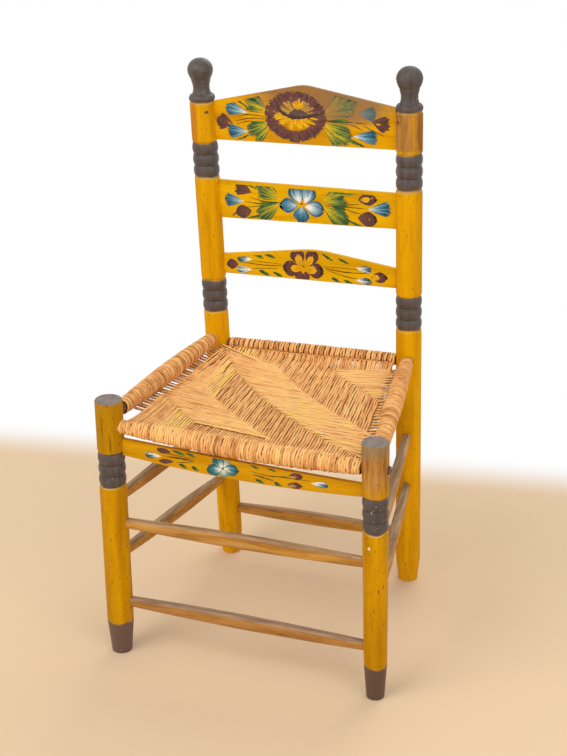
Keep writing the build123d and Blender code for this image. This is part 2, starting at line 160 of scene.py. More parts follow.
def makeLights():
    for name, lamp in lights.items():
        data = bpy.data.lights.new(name, "AREA")
        data.size = lamp["size"]
        data.energy = lamp["power"]
        light = bpy.data.objects.new(name, data)
        place = Vector(lamp["place"])
        aim = (place - Vector(lightAim)).to_track_quat("Z", "Y")
        light.matrix_world = Matrix.Translation(place) @ aim.to_matrix().to_4x4()
        scene.collection.objects.link(light)
    world = bpy.data.worlds.new("studio")
    scene.world = world
    world.use_nodes = True
    tree = world.node_tree
    tree.nodes.clear()
    plain = addNode(tree, "ShaderNodeBackground", {"Color": "#FFFFFF", "Strength": worldStrength})
    white = addNode(tree, "ShaderNodeBackground", {"Color": "#FFFFFF", "Strength": 1.0})
    both = addNode(tree, "ShaderNodeMixShader", {0: seenShare(tree), 1: plain, 2: white})
    addNode(tree, "ShaderNodeOutputWorld", {"Surface": both})


scene.view_settings.view_transform = "Standard"
makeCamera()
makeFloor()
makeLights()
print("camera, floor and light are set")


# Painted wood. Each noise pattern is given by the size of its patches in millimetres.
paintPatches = {
    "waver": 29.4,        # how a ring's hand-painted edge wanders
    "mottle": 18.2,       # thick and thin paint
    "grain": 7.7,         # brush marks and wood grain; the finest are real at half a millimetre
    "rubbed": 23.8,       # where the paint is worn through
    "grime": 9.1,
    "specks": 3.03,       # small knocks, drawn larger than the real millimetre so that they show
    "chips": 3.33,
    "blots": 11.1,        # dirt on the posts' flat tops
}


def patches(tree, place, size, low, high, detail=3.0):
    # Soft-edged random patches of a size in millimetres, as a mask from 0 to 1.
    cloud = addNode(tree, "ShaderNodeTexNoise", {"Vector": place, "Scale": 1 / (size * mm), "Detail": detail})
    return addNode(tree, "ShaderNodeMapRange", {"Value": cloud, "From Min": low, "From Max": high})


def levelRamp(tree, level, top, stops):
    # A mask read off a ramp by height: stops pair millimetres with a grey.
    share = addNode(tree, "ShaderNodeMapRange", {"Value": level, "From Max": top * mm})
    return addNode(
        tree, "ShaderNodeValToRGB", {"Fac": share}, stops=[(height / top, grey) for height, grey in stops])


def layered(tree, colour, *layers):
    # Lays colours over one another, each as far as its mask says.
    for mask, upper in layers:
        colour = addNode(tree, "ShaderNodeMixRGB", {"Fac": mask, "Color1": colour, "Color2": upper})
    return colour


def stainAndShadeMask(tree, place, rubbing, stainOrShade):
    # A patch round one spot, an ellipsoid with a ragged edge.
    moved = addNode(
        tree, "ShaderNodeVectorMath", {0: place, 1: [c * mm for c in stainOrShade["place"]]}, operation="SUBTRACT")
    shaped = addNode(
        tree, "ShaderNodeVectorMath", {0: moved, 1: [1 / (c * mm) for c in stainOrShade["size"]]},
        operation="MULTIPLY")
    distance = addNode(tree, "ShaderNodeVectorMath", {0: shaped}, operation="LENGTH")
    ragged = addNode(tree, "ShaderNodeMath", {0: distance, 1: rubbing}, operation="ADD")
    return addNode(
        tree, "ShaderNodeMapRange",
        {"Value": ragged, "From Min": 1.65, "From Max": 1.1, "To Max": stainOrShade["strength"]})


def paintMaterial(name, look):
    # Old brushed oil paint on turned or hewn wood: mustard ground, near-black rings and feet,
    # rubbed through to brown wood on edges and where hands reach.
    material = newMaterial(name)
    tree = material.node_tree
    place = addNode(tree, "ShaderNodeTexCoord").outputs["Object"]
    grainPlace = addNode(tree, "ShaderNodeMapping", {"Vector": place, "Scale": look["grain"]})
    level = addNode(tree, "ShaderNodeSeparateXYZ", {"Vector": place}).outputs["Z"]
    facing = addNode(tree, "ShaderNodeNewGeometry").outputs["Normal"]
    mottle = addNode(
        tree, "ShaderNodeTexNoise",
        {"Vector": grainPlace, "Scale": 1 / (paintPatches["mottle"] * mm), "Detail": 5.0, "Roughness": 0.6})
    fine = addNode(
        tree, "ShaderNodeTexNoise",
        {"Vector": grainPlace, "Scale": 1 / (paintPatches["grain"] * mm), "Detail": 4.0, "Roughness": 0.6})
    rubbing = addNode(
        tree, "ShaderNodeTexNoise",
        {"Vector": grainPlace, "Scale": 1 / (paintPatches["rubbed"] * mm), "Detail": 5.0})

    # Wear: by height, and along edges, where a softened normal leaves the true one.
    wear = levelRamp(tree, level, look["top"], look["wear"])
    softened = addNode(tree, "ShaderNodeBevel", {"Radius": look["edgeReach"] * mm}, samples=4)
    aligned = addNode(tree, "ShaderNodeVectorMath", {0: softened, 1: facing}, operation="DOT_PRODUCT")
    edge = addNode(
        tree, "ShaderNodeMapRange",
        {"Value": aligned, "From Min": 0.995, "From Max": 0.9, "To Max": look["edgeWear"]})
    worn = addNode(tree, "ShaderNodeMath", {0: wear, 1: edge}, operation="ADD")
    uneven = addNode(tree, "ShaderNodeMath", {0: worn, 1: rubbing}, operation="ADD")
    rubbed = addNode(
        tree, "ShaderNodeMapRange",
        {"Value": uneven, "From Min": look["rubbedFrom"], "From Max": look["rubbedTo"]})

    # The mustard ground, with grime, bare wood, stained patches, one patch of painted shade and specks over
    # it.
    ground = addNode(
        tree, "ShaderNodeValToRGB", {"Fac": mottle}, stops=zip((0.34, 0.5, 0.68), look["paint"]))
    wood = addNode(tree, "ShaderNodeValToRGB", {"Fac": fine}, stops=zip((0.34, 0.5, 0.66), look["wood"]))
    grime = patches(tree, grainPlace, paintPatches["grime"], 0.5, 0.68, 5.0)
    grimeShare = addNode(tree, "ShaderNodeMath", {0: grime, 1: look["grime"]}, operation="MULTIPLY")
    stainsAndShade = [(stainAndShadeMask(tree, place, rubbing, stainOrShade), stainOrShade["colour"]) for stainOrShade in look["stainsAndShade"]]
    speckPlace = addNode(tree, "ShaderNodeMapping", {"Vector": place, "Scale": look["speckShape"]})
    speckStart = 0.72 - look["specks"]
    specks = patches(tree, speckPlace, paintPatches["specks"], speckStart, speckStart + 0.04, 2.0)
    ground = layered(
        tree, ground, (grimeShare, look["grimeColour"]), (rubbed, wood), *stainsAndShade,
        (specks, look["speckColour"]))

    # The dark rings, feet and caps, with a thin lip of paler paint along each wavering edge, and painted
    # shade in the ring grooves.
    swing = addNode(
        tree, "ShaderNodeTexNoise",
        {"Vector": place, "Scale": 1 / (paintPatches["waver"] * mm), "Detail": 2.0})
    drift = addNode(
        tree, "ShaderNodeMapRange",
        {"Value": swing, "From Min": 0.25, "From Max": 0.75,
         "To Min": -look["waver"] * mm, "To Max": look["waver"] * mm})
    wavering = addNode(tree, "ShaderNodeMath", {0: level, 1: drift}, operation="ADD")
    ringed = levelRamp(tree, wavering, look["top"], look["dark"])
    higher = addNode(tree, "ShaderNodeMath", {0: wavering, 1: look["lipHeight"] * mm}, operation="ADD")
    lip = levelRamp(tree, higher, look["top"], look["dark"])
    lipShare = addNode(tree, "ShaderNodeMath", {0: lip, 1: look["lip"]}, operation="MULTIPLY")
    upward = addNode(tree, "ShaderNodeSeparateXYZ", {"Vector": facing}).outputs["Z"]
    cap = addNode(
        tree, "ShaderNodeMapRange",
        {"Value": upward, "From Min": 0.6, "From Max": 0.75, "To Max": look["cap"]})
    dark = addNode(tree, "ShaderNodeMath", {0: ringed, 1: cap}, operation="MAXIMUM")
    foot = levelRamp(tree, level, look["top"], [(0, 1), (look["footTop"], 1), (look["footTop"] + 2, 0)])
    # Painted shade: the grooves between the beads are drawn darker, where shadow would fall.
    groove = levelRamp(tree, level, look["top"], look["grooves"])
    chipStart = 0.73 - look["chips"]
    chips = patches(tree, place, paintPatches["chips"], chipStart, chipStart + 0.03, 2.0)
    edgeChips = addNode(tree, "ShaderNodeMath", {0: edge, 1: rubbing}, operation="MULTIPLY")
    flaked = addNode(
        tree, "ShaderNodeMapRange", {"Value": edgeChips, "From Min": 0.28, "From Max": 0.4, "To Max": 0.55})
    blots = patches(tree, place, paintPatches["blots"], 0.4, 0.75)
    capSpots = addNode(tree, "ShaderNodeMath", {0: blots, 1: cap}, operation="MULTIPLY")
    shade = addNode(tree, "ShaderNodeValToRGB", {"Fac": fine}, stops=zip((0.35, 0.65), look["ring"]))
    shade = layered(
        tree, shade, (foot, look["foot"]), (groove, look["grooveShadeColour"]), (chips, look["chip"]),
        (flaked, look["chip"]), (cap, look["capColour"]), (capSpots, look["capSpot"]))
    colour = layered(tree, ground, (lipShare, look["lipColour"]), (dark, shade))

    gloss = addNode(
        tree, "ShaderNodeMapRange",
        {"Value": dark, "To Min": look["roughness"], "To Max": look["darkRoughness"]})
    sheen = addNode(
        tree, "ShaderNodeMapRange",
        {"Value": dark, "To Min": look["specular"], "To Max": look["darkSpecular"]})
    dull = addNode(tree, "ShaderNodeMath", {0: rubbed, 1: 0.2, 2: gloss}, operation="MULTIPLY_ADD")
    grained = addNode(
        tree, "ShaderNodeBump", {"Height": fine, "Strength": 0.25, "Distance": look["grainDepth"] * mm})
    dented = addNode(
        tree, "ShaderNodeBump",
        {"Height": mottle, "Strength": 0.3, "Distance": look["dentDepth"] * mm, "Normal": grained})
    shader = addNode(
        tree, "ShaderNodeBsdfPrincipled",
        {"Base Color": colour, "Roughness": dull, "Normal": dented, "Specular IOR Level": sheen})
    addNode(tree, "ShaderNodeOutputMaterial", {"Surface": shader})
    return material


rings = {
    "pitch": 19.5,          # from bead to bead in each group of three
    "groove": 3.5,          # half a groove's width
    "shade": 0.75,          # how dark the painted shade in a groove is
    "edge": 0.4,            # half the height over which the dark paint starts
}


def ringStops(bands, top):
    # Stops for dark paint bands that run from one height to another.
    stops = []
    for low, high in bands:
        stops += [(low - rings["edge"], 0), (low + rings["edge"], 1)] if low > 0 else [(0, 1)]
        stops += [(high - rings["edge"], 1), (high + rings["edge"], 0)] if high < top else []
    return stops


def grooveShadeStops(*groups):
    # Stops for painted shade in the two grooves between the beads of each ring group, from the group's lower
    # end.
    stops = []
    for low in groups:
        for groove in (low + rings["pitch"], low + 2 * rings["pitch"]):
            stops += [(groove - rings["groove"], 0), (groove, rings["shade"]), (groove + rings["groove"], 0)]
    return stops


# Heights are in millimetres over the floor. "wear" pairs each with how far the paint is rubbed off
# there, and "dark" and "grooves" are the stops of the ring bands and of the painted shade in their grooves.
painted = {
    "grain": (1.0, 1.0, 0.12),                # the pattern's stretch, here along an upright post
    "grainDepth": 0.6, "dentDepth": 2.5,      # millimetres from high to low
    "top": 918, "waver": 2.4,
    "edgeWear": 0.34, "edgeReach": 2.2, "rubbedFrom": 0.8, "rubbedTo": 1.02,
    "roughness": 0.55, "darkRoughness": 0.4, "specular": 0.07, "darkSpecular": 0.35,
    "paint": ("#C88B00", "#E4A400", "#EEB000"), "grime": 0.4, "grimeColour": "#B07800",
    "wood": ("#966228", "#B98240", "#C89250"), "wear": [(0, 0.16), (200, 0.06)],
    "specks": 0.0, "speckShape": (1.0, 1.0, 0.5), "speckColour": "#80530F", "stainsAndShade": [],
    "dark": [(0, 0), (918, 0)], "ring": ("#4A413D", "#5C524D"), "footTop": 150, "foot": "#6A5148",
    "grooves": [(0, 0), (918, 0)], "grooveShadeColour": "#38302D", "chips": 0.0, "chip": "#C4B6A6",
    "lip": 0.6, "lipHeight": 1.5, "lipColour": "#D8B978",
    "cap": 0, "capColour": "#8A7C70", "capSpot": "#665E58",
}
frontPost = dict(
    painted, top=462, cap=1, chips=0.015, specks=0.065, speckColour="#8A5A10",
    paint=("#B67C00", "#D09400", "#E2A400"), grime=0.55)
rearPost = dict(
    painted, specks=0.03, dark=ringStops([(482, 541), (721, 780.4), (847, 918)], 918),
    grooves=grooveShadeStops(482, 721.5))
plank = dict(
    painted, grain=(0.12, 1.0, 1.0), speckShape=(0.5, 1.0, 1.0), lip=0, grime=0.25,
    wear=[(0, 0.05), (918, 0.05)])
slat = dict(plank, paint=("#CA9400", "#E6AE00", "#F0BA04"))
posts = {
    "front_post_left": dict(
        frontPost, chips=0.02, dark=ringStops([(0, 59.7), (313, 372.6)], 462), grooves=grooveShadeStops(313.4),
        wear=[(0, 0.34), (120, 0.26), (220, 0.1), (374, 0.1), (430, 0.16), (452, 0.3), (458, 0.5)],
        stainsAndShade=[
            {"place": (-205, -200, 415), "size": (60, 60, 62), "strength": 0.55, "colour": "#A87A08"},
            {"place": (-203, -210, 390), "size": (3, 20, 26), "strength": 0.8, "colour": "#7C5410"},
            {"place": (-214, -210, 420), "size": (2, 20, 30), "strength": 0.8, "colour": "#7C5410"}]),
    "front_post_right": dict(
        frontPost, chips=0.028, foot="#5E473A", dark=ringStops([(0, 59.7), (298.6, 358)], 462),
        grooves=grooveShadeStops(298.8),
        wear=[(0, 0.26), (120, 0.2), (220, 0.1), (290, 0.1), (354, 0.3), (380, 0.5), (440, 0.55)],
        stainsAndShade=[
            {"place": (218, -190, 446), "size": (40, 40, 26), "strength": 0.75, "colour": "#96805E"},
            {"place": (216, -203, 276), "size": (2.6, 12, 3), "strength": 1, "colour": "#F4EBD8"}]),
    "rear_post_left": dict(
        rearPost, wear=[(0, 0.24), (160, 0.12), (260, 0.05), (700, 0.05), (800, 0.14)],
        stainsAndShade=[
            {"place": (-170, 178, 822), "size": (1.2, 9, 1.2), "strength": 0.9, "colour": "#4A3418"},
            # This patch is painted shade: the post's left facet, turned from the light, is drawn orange-tan.
            {"place": (-190, 170, 815), "size": (7, 30, 60), "strength": 0.7, "colour": "#C0742C"}]),
    "rear_post_right": dict(
        rearPost, wood=("#8C5C26", "#AC7838", "#BC8848"),
        wear=[(0, 0.24), (160, 0.12), (260, 0.05), (775, 0.05), (790, 0.52), (845, 0.52)]),
}
boards = {
    "crest_slat": dict(
        plank, wear=[(0, 0.1), (840, 0.1), (880, 0.2)],
        stainsAndShade=[
            {"place": (-12, 175, 800), "size": (78, 90, 30), "strength": 0.5, "colour": "#B67A14"},
            {"place": (10, 175, 870), "size": (118, 90, 38), "strength": 0.9, "colour": "#946C42"},
            {"place": (78, 175, 850), "size": (74, 90, 30), "strength": 0.85, "colour": "#96704A"}]),
    "middle_slat": slat,
    "lower_slat": slat,
    "front_apron": dict(plank, paint=("#C08400", "#D69A06", "#E4A810"), wear=[(0, 0.1), (918, 0.1)]),
}
for nodeName, look in {**posts, **boards}.items():
    nodes[nodeName].material_slots[0].material = paintMaterial(nodeName + "Paint", look)
print("posts and boards are painted")


# Brushed flowers. Distances are in millimetres: x from the chair's middle, z over the floor. Angles
# are in degrees, 0 to the right and 90 up. Later strokes lie over earlier ones.
flowerColours = {
    "leaf": ("#EBB80A", "#BCA81C", "#5E8232", "#2F5638", "#24463A"),
    "fadedLeaf": ("#B0843C", "#8E7C46", "#66704A", "#526850"),
    "tulip": ("#F4E8C8", "#8AB6C4", "#3E7C96", "#255870", "#1F4354"),
    "fadedTulip": ("#8C8468", "#6E7E7E", "#566E78", "#4A5C60"),
    "petal": ("#F6E6C6", "#F8F2EA", "#8AB2C4", "#2C6280", "#1D4658"),
    "bluePetal": ("#D8DCCC", "#8CB6C6", "#4E86A2", "#2A6080", "#1D4658"),
    "whiteTulip": ("#F4DC98", "#F8F4E6", "#F4F2E6", "#7FA0A2", "#2F6272", "#264E66", "#223F56"),
    "teal": ("#F8EED2", "#F6F2E0", "#D4E0D2", "#3E8086", "#1B5A64", "#124650"),
    "paleTeal": ("#F3EAD0", "#D9DDBE", "#8CAE98", "#447C7A"),
    "bud": ("#80503A", "#684238", "#5A3C3A", "#4A3234"),
    "plum": ("#704840", "#663E3C", "#5E3838", "#4E3036"),
    "heart": ("#CE9212", "#E6AC06", "#EFB806"),
    "brownHeart": ("#C8983C", "#BA8A3A", "#A87A40", "#7A5A44"),
    "stem": ("#3D3A20", "#5A4216"),
    "shoot": ("#1F4636", "#2C5A30", "#7A8E1E"),
    "crescent": ("#4E3A3C", "#463234"),
    "darkHeart": ("#5A4A44", "#5E4E48"),
}
brushwork = {
    "petalLines": 12, "petalRows": 10,       # bristle lines across a petal and points along each
    "fanRows": 7, "strokeRows": 6,           # points along a fan's lines and between a stroke's places
    "stand": 0.12, "layer": 0.02,            # how far paint stands proud, and each stroke over the last
    "sink": 0.1,                             # how far its back lies inside the board
    "margin": 1.4,                           # kept from the board's edges
}


def blend(colours, share):
    # A colour from a list, read by a share from 0 to 1.
    spot = min(max(share, 0), 1) * (len(colours) - 1)
    first = min(int(spot), len(colours) - 2)
    low, high = linear(colours[first]), linear(colours[first + 1])
    return [a + (b - a) * (spot - first) for a, b in zip(low, high)]


def chance(*key):
    # A repeatable random number from 0 to 1.
    return noise.cell(Vector(key) * 1.37 + Vector((0.5, 0.5, 0.5)))


def petal(place, aim, reach, width, colours, fade=1.5, rim=0.85, streak=0.25):
    # One rounded petal, narrow at its root, its colours running from the root to a darker rim.
    heading = Vector((cos(radians(aim)), sin(radians(aim))))
    sideways = Vector((-heading.y, heading.x))
    lines, rows = brushwork["petalLines"], brushwork["petalRows"]
    grid, tones = [], []
    for column in range(lines + 1):
        across = 2 * column / lines - 1
        draw = chance(column, place[0], reach)
        line, paint = [], []
        for row in range(rows + 1):
            share = row / rows * 0.99
            half = 0.4 + 0.5 * width * sin(pi * share ** 1.25) ** 0.62     # widest past its middle
            length = reach * share * (1 + 0.08 * (draw - 0.5) * share)     # a little ragged at its end
            here = Vector(place) + heading * length + sideways * half * across
            line.append((here.x, here.y))
            tone = 1 - (1 - share ** fade) * (1 - rim * abs(across) ** 2.4) + streak * (draw - 0.5) * share
            paint.append(blend(flowerColours[colours], tone))
        grid.append(line)
        tones.append(paint)
    return {"grid": grid, "tones": tones, "closed": False}


def fan(place, aim, reach, spread, colours, start=0, teeth=14, bite=0.12, fall=0.25, edge=0.9,
        streak=0.3, belly=0.1, fade=1.0, squash=(1, 1)):
    # One spread of bristle marks: lines of points and colours from its root to its ragged edge.
    # A spread of 180 closes to a ring.
    columns = teeth * 2
    rows = brushwork["fanRows"]
    closed = spread >= 180
    belly = 0 if closed else belly
    grid, tones = [], []
    for column in range(columns if closed else columns + 1):
        across = column / teeth - 1
        draw = chance(column, place[0], place[1])
        tooth = column % 2
        notch = 0 if tooth else bite * (0.4 + 0.9 * draw)
        length = reach * (1 - fall * abs(across) ** 2.2) * (1 - notch)
        first = start * (1 + 0.5 * bite * draw * tooth)
        line, paint = [], []
        for row in range(rows + 1):
            share = row / rows
            radius = first + (length - first) * share
            angle = radians(aim + spread * across * (1 + belly * sin(pi * share)))
            line.append((
                place[0] + squash[0] * radius * cos(angle), place[1] + squash[1] * radius * sin(angle)))
            side = 0 if closed else edge * abs(across) ** 2.4 * min(1, share * 2.5)
            tone = max(share ** fade, side) + streak * (draw - 0.5) * (0.3 + share)
            paint.append(blend(flowerColours[colours], tone))
        grid.append(line)
        tones.append(paint)
    return {"grid": grid, "tones": tones, "closed": closed}


# The two kinds of closed flower, each from its root.
def tulip(place, aim, reach, spread=22):
    return fan(place, aim, reach, spread, "tulip", teeth=13, fall=0.12)


def whiteTulip(place, aim, reach, spread):
    return fan(place, aim, reach, spread, "whiteTulip", teeth=8, bite=0.1, fall=0.4, edge=0.7, fade=0.9)


def stroke(points, width, colours, ends=0.15):
    # One pull of a round brush through a few points, thick in the middle and thin at its ends.
    steps = brushwork["strokeRows"]
    rows = steps * (len(points) - 1)
    padded = [Vector(points[0]) * 2 - Vector(points[1])] + [Vector(p) for p in points]
    padded += [Vector(points[-1]) * 2 - Vector(points[-2])]
    grid, tones = [[], [], []], [[], [], []]
    path = []
    for row in range(rows + 1):
        spot = min(row / steps, len(points) - 1.001)
        part = int(spot)
        t = spot - part
        a, b, c, d = padded[part:part + 4]     # a smooth curve through b and c
        path.append(0.5 * (2 * b + (c - a) * t + (2 * a - 5 * b + 4 * c - d) * t * t
                           + (3 * b - a - 3 * c + d) * t ** 3))
    for row, here in enumerate(path):
        share = row / rows
        ahead = path[min(row + 1, rows)] - path[max(row - 1, 0)]
        side = Vector((-ahead.y, ahead.x)).normalized()
        half = width / 2 * (ends + (1 - ends) * sin(pi * share) ** 0.6)
        half *= 0.85 + 0.3 * chance(row, points[0][0], points[0][1])
        for column, offset in enumerate((-1, 0, 1)):
            spotHere = here + side * half * offset
            grid[column].append((spotHere.x, spotHere.y))
            tones[column].append(blend(flowerColours[colours], share * 0.8 + 0.2 * (offset + 1) / 2))
    return {"grid": grid, "tones": tones, "closed": False}


def edgeAt(edge, x):
    # The height of a board's edge over one place, from the edge's corner points in order.
    for left, right in zip(edge, edge[1:]):
        if left.x <= x <= right.x:
            return left.z + (right.z - left.z) * (x - left.x) / max(right.x - left.x, 0.001)
    return edge[0].z if x < edge[0].x else edge[-1].z


def closedShell(grid, closed, first):
    # Faces of a thin skin from its two layers of points, the front layer's first.
    columns, rows = len(grid), len(grid[0])
    spans = columns if closed else columns - 1
    top, end = rows - 1, columns - 1

    def at(column, row, layer=0):
        return first + (layer * columns + column % columns) * rows + row

    turns = 0
    quads = []
    for column in range(spans):
        for row in range(top):
            a, b, c = grid[column][row], grid[(column + 1) % columns][row], grid[column][row + 1]
            turns += (b[0] - a[0]) * (c[1] - a[1]) - (b[1] - a[1]) * (c[0] - a[0])
            beside, above = column + 1, row + 1
            quads.append((at(column, row), at(beside, row), at(beside, above), at(column, above)))
            quads.append((
                at(column, row, 1), at(column, above, 1), at(beside, above, 1), at(beside, row, 1)))
        quads.append((at(column, 0), at(column, 0, 1), at(column + 1, 0, 1), at(column + 1, 0)))
        quads.append((at(column, top), at(column + 1, top), at(column + 1, top, 1), at(column, top, 1)))
    if not closed:
        for row in range(top):
            quads.append((at(0, row), at(0, row + 1), at(0, row + 1, 1), at(0, row, 1)))
            quads.append((at(end, row), at(end, row, 1), at(end, row + 1, 1), at(end, row + 1)))
    # A mark laid the other way round has its faces turned, so that they all point outwards.
    return [quad[::-1] for quad in quads] if turns < 0 else quads


def paintBoard(name, nodeName, marks):
    # Thin skins of paint standing a hair proud of a board's face, all in one closed-shell mesh.
    corners = [v.co / mm for v in nodes[nodeName].data.vertices]
    faceY = min(p.y for p in corners)
    corners = sorted((p for p in corners if p.y < faceY + 0.05), key=lambda p: p.x)
    middle = (min(p.z for p in corners) + max(p.z for p in corners)) / 2
    upperEdge = [p for p in corners if p.z > middle]
    lowerEdge = [p for p in corners if p.z < middle]
    margin = brushwork["margin"]
    points, faces, colours = [], [], []
    for order, mark in enumerate(marks):
        for line in mark["grid"]:
            for row, (x, z) in enumerate(line):
                kept = min(max(z, edgeAt(lowerEdge, x) + margin), edgeAt(upperEdge, x) - margin)
                line[row] = (x, kept + 0.03 * (z - kept))     # pressed together there, but never flat
        faces += closedShell(mark["grid"], mark["closed"], len(points))
        front = faceY - brushwork["stand"] - brushwork["layer"] * order
        for depth in (front, faceY + brushwork["sink"]):
            for line, tones in zip(mark["grid"], mark["tones"]):
                for (x, z), tone in zip(line, tones):
                    points.append((x * mm, depth * mm, z * mm))
                    colours += tone
    mesh = bpy.data.meshes.new(name)
    mesh.from_pydata(points, [], faces)
    mesh.attributes.new("paint", "FLOAT_COLOR", "POINT").data.foreach_set("color", colours)
    mesh.materials.append(flowerPaint)
    skin = bpy.data.objects.new(name, mesh)
    scene.collection.objects.link(skin)
    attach(skin, "root")


flowerLook = {
    "grit": 2.38,               # millimetres from one drag mark of the bristles to the next
    "worn": 6.67,               # millimetres across a knock
    "wornColour": "#B5852A",
    "roughness": 0.55, "specular": 0.2,
}


def flowerMaterial():
    # Artist's oil paint brushed thinly: its colour is stored on the strokes, dragged by a dry brush.
    material = newMaterial("flowerPaint")
    tree = material.node_tree
    stored = addNode(tree, "ShaderNodeAttribute", attribute_name="paint").outputs["Color"]
    place = addNode(tree, "ShaderNodeTexCoord").outputs["Object"]
    grit = addNode(
        tree, "ShaderNodeTexNoise",
        {"Vector": place, "Scale": 1 / (flowerLook["grit"] * mm), "Detail": 3.0})
    shade = addNode(
        tree, "ShaderNodeMapRange",
        {"Value": grit, "From Min": 0.3, "From Max": 0.7, "To Min": 0.72, "To Max": 1.25})
    dragged = addNode(tree, "ShaderNodeVectorMath", {0: stored, "Scale": shade}, operation="SCALE")
    worn = patches(tree, place, flowerLook["worn"], 0.66, 0.72)
    colour = layered(tree, dragged, (worn, flowerLook["wornColour"]))
    shader = addNode(
        tree, "ShaderNodeBsdfPrincipled",
        {"Base Color": colour, "Roughness": flowerLook["roughness"],
         "Specular IOR Level": flowerLook["specular"]})
    addNode(tree, "ShaderNodeOutputMaterial", {"Surface": shader})
    return material


crestFlowers = [
    stroke([(-70, 827), (-100, 829), (-122, 824)], 1.8, "stem"),
    stroke([(-68, 824), (-98, 823), (-124, 817)], 1.6, "stem"),
    stroke([(-66, 816), (-98, 818), (-122, 812)], 1.4, "stem"),
    stroke([(34, 826), (70, 825), (104, 824)], 2.0, "stem"),
    stroke([(34, 824), (75, 821), (98, 812)], 1.6, "stem"),
    stroke([(32, 812), (42, 797), (52, 788)], 1.4, "stem"),
    stroke([(96, 821), (116, 812), (132, 805)], 1.6, "stem"),
    fan((-66, 838), 142, 44, 21, "fadedLeaf", teeth=15, bite=0.16),
    fan((-66, 836), 152, 40, 17, "leaf", teeth=11, bite=0.2),
    fan((-68, 834), 170, 36, 12, "leaf", teeth=7, bite=0.24),
    stroke([(-123, 855), (-110, 847), (-96, 838)], 3.4, "shoot"),
    fan((-60, 818), 203, 46, 22, "leaf", teeth=16, bite=0.16),
    fan((-62, 812), 228, 36, 16, "leaf", teeth=10, bite=0.18),
    stroke([(-100, 796), (-110, 790), (-124, 786)], 3.0, "shoot"),
    fan((32, 838), 32, 62, 24, "fadedLeaf", teeth=18, bite=0.14),
    fan((32, 836), 6, 50, 12, "fadedLeaf", teeth=8, bite=0.14),
    fan((30, 820), -28, 52, 26, "leaf", teeth=18, bite=0.14),
    fan((34, 825), 2, 38, 8, "shoot", teeth=6, bite=0.2),
    fan((32, 812), -50, 34, 16, "leaf", teeth=10, bite=0.18),
    stroke([(46, 804), (72, 796), (98, 787)], 6.0, "leaf"),
    tulip((-101, 832), 167, 38),
    tulip((-100, 801), 182, 37),
    fan((-127, 813), 172, 29, 36, "bud", teeth=12, fall=0.2, bite=0.16),
    stroke([(-130, 812), (-136, 815)], 2.0, "heart"),
    fan((88, 840), 0, 30, 26, "fadedTulip", teeth=12, fall=0.1, bite=0.05),
    tulip((79, 802), 1, 41, 20),
    fan((111, 828), -12, 30, 34, "bud", teeth=12, fall=0.15, bite=0.14),
    stroke([(118, 824), (126, 824)], 3.0, "heart"),
    fan((-18, 829.5), 90, 52.5, 180, "plum", start=30, teeth=74, bite=0.1, fall=0, streak=0.7,
        squash=(1, 0.79)),
    fan((-17, 833), -90, 30, 96, "heart", start=4, teeth=30, bite=0.34, fall=0.02, streak=0.4,
        squash=(1.22, 0.86)),
    fan((-16, 834), 90, 32, 82, "brownHeart", teeth=22, bite=0.26, fall=0.1, streak=0.9,
        squash=(1.1, 0.72)),
    fan((-13, 840), 90, 17, 62, "heart", teeth=12, bite=0.5, fall=0.5),
    stroke([(-50, 852), (-43, 838), (-26, 829.5), (-6, 829), (8, 832), (26, 836.5)], 7.4, "crescent", 0.3),
    stroke([(-28, 834), (-13, 837), (3, 834)], 11.0, "darkHeart"),
]
middleFlowers = [
    stroke([(-58, 682), (-85, 685), (-106, 689)], 1.6, "stem"),
    stroke([(-56, 680), (-84, 679), (-114, 681)], 1.8, "stem"),
    stroke([(-60, 676), (-88, 674), (-112, 671)], 1.4, "stem"),
    stroke([(28, 685), (60, 687), (92, 691)], 1.6, "stem"),
    stroke([(30, 683), (66, 684), (104, 683)], 1.8, "stem"),
    stroke([(54, 684), (76, 677), (94, 673)], 1.4, "stem"),
    fan((-48, 690), 147, 50, 24, "leaf", teeth=17, bite=0.16),
    fan((-48, 688), 172, 42, 11, "leaf", teeth=8, bite=0.2),
    stroke([(-90, 704), (-100, 708), (-112, 711)], 3.0, "shoot"),
    fan((-48, 682), 212, 50, 24, "leaf", teeth=17, bite=0.16),
    fan((-50, 684), 188, 40, 9, "shoot", teeth=6, bite=0.24),
    stroke([(-84, 660), (-98, 655), (-110, 652)], 3.4, "shoot"),
    fan((26, 692), 30, 44, 24, "leaf", teeth=15, bite=0.16),
    stroke([(44, 702), (68, 706), (92, 711)], 5.0, "leaf"),
    fan((26, 692), -4, 44, 16, "leaf", teeth=10, bite=0.18),
    fan((26, 682), -34, 52, 25, "leaf", teeth=18, bite=0.14),
    fan((40, 684), -12, 24, 16, "shoot", teeth=7, bite=0.2),
    stroke([(64, 664), (80, 657), (98, 652)], 4.0, "shoot"),
    tulip((-113, 681), 178, 36),
    tulip((103, 683), 3, 39),
    fan((-99, 697), 160, 31, 30, "bud", teeth=11, fall=0.15, bite=0.16),
    petal((-101, 666), 190, 30, 22, "bud", 1.0),
    stroke([(-124, 664), (-131, 659), (-136, 654)], 2.4, "bud"),
    petal((87, 698), 8, 32, 21, "bud", 1.0),
    petal((91, 698), 6, 17, 8, "heart", 1.0),
    petal((86, 667), -2, 33, 24, "bud", 1.0),
    petal((-13.5, 686), 113, 32, 27, "petal", 0.9),
    petal((-6, 686), 63, 31, 24, "petal", 0.85),
    petal((-19, 680.5), 182, 32, 25, "bluePetal", 1.0),
    petal((-5, 680.5), -11, 33, 26, "petal", 0.9),
    petal((-11, 679), -96, 29, 27, "bluePetal", 0.9),
    stroke([(-13, 683), (-10, 685)], 3.0, "bud"),
]
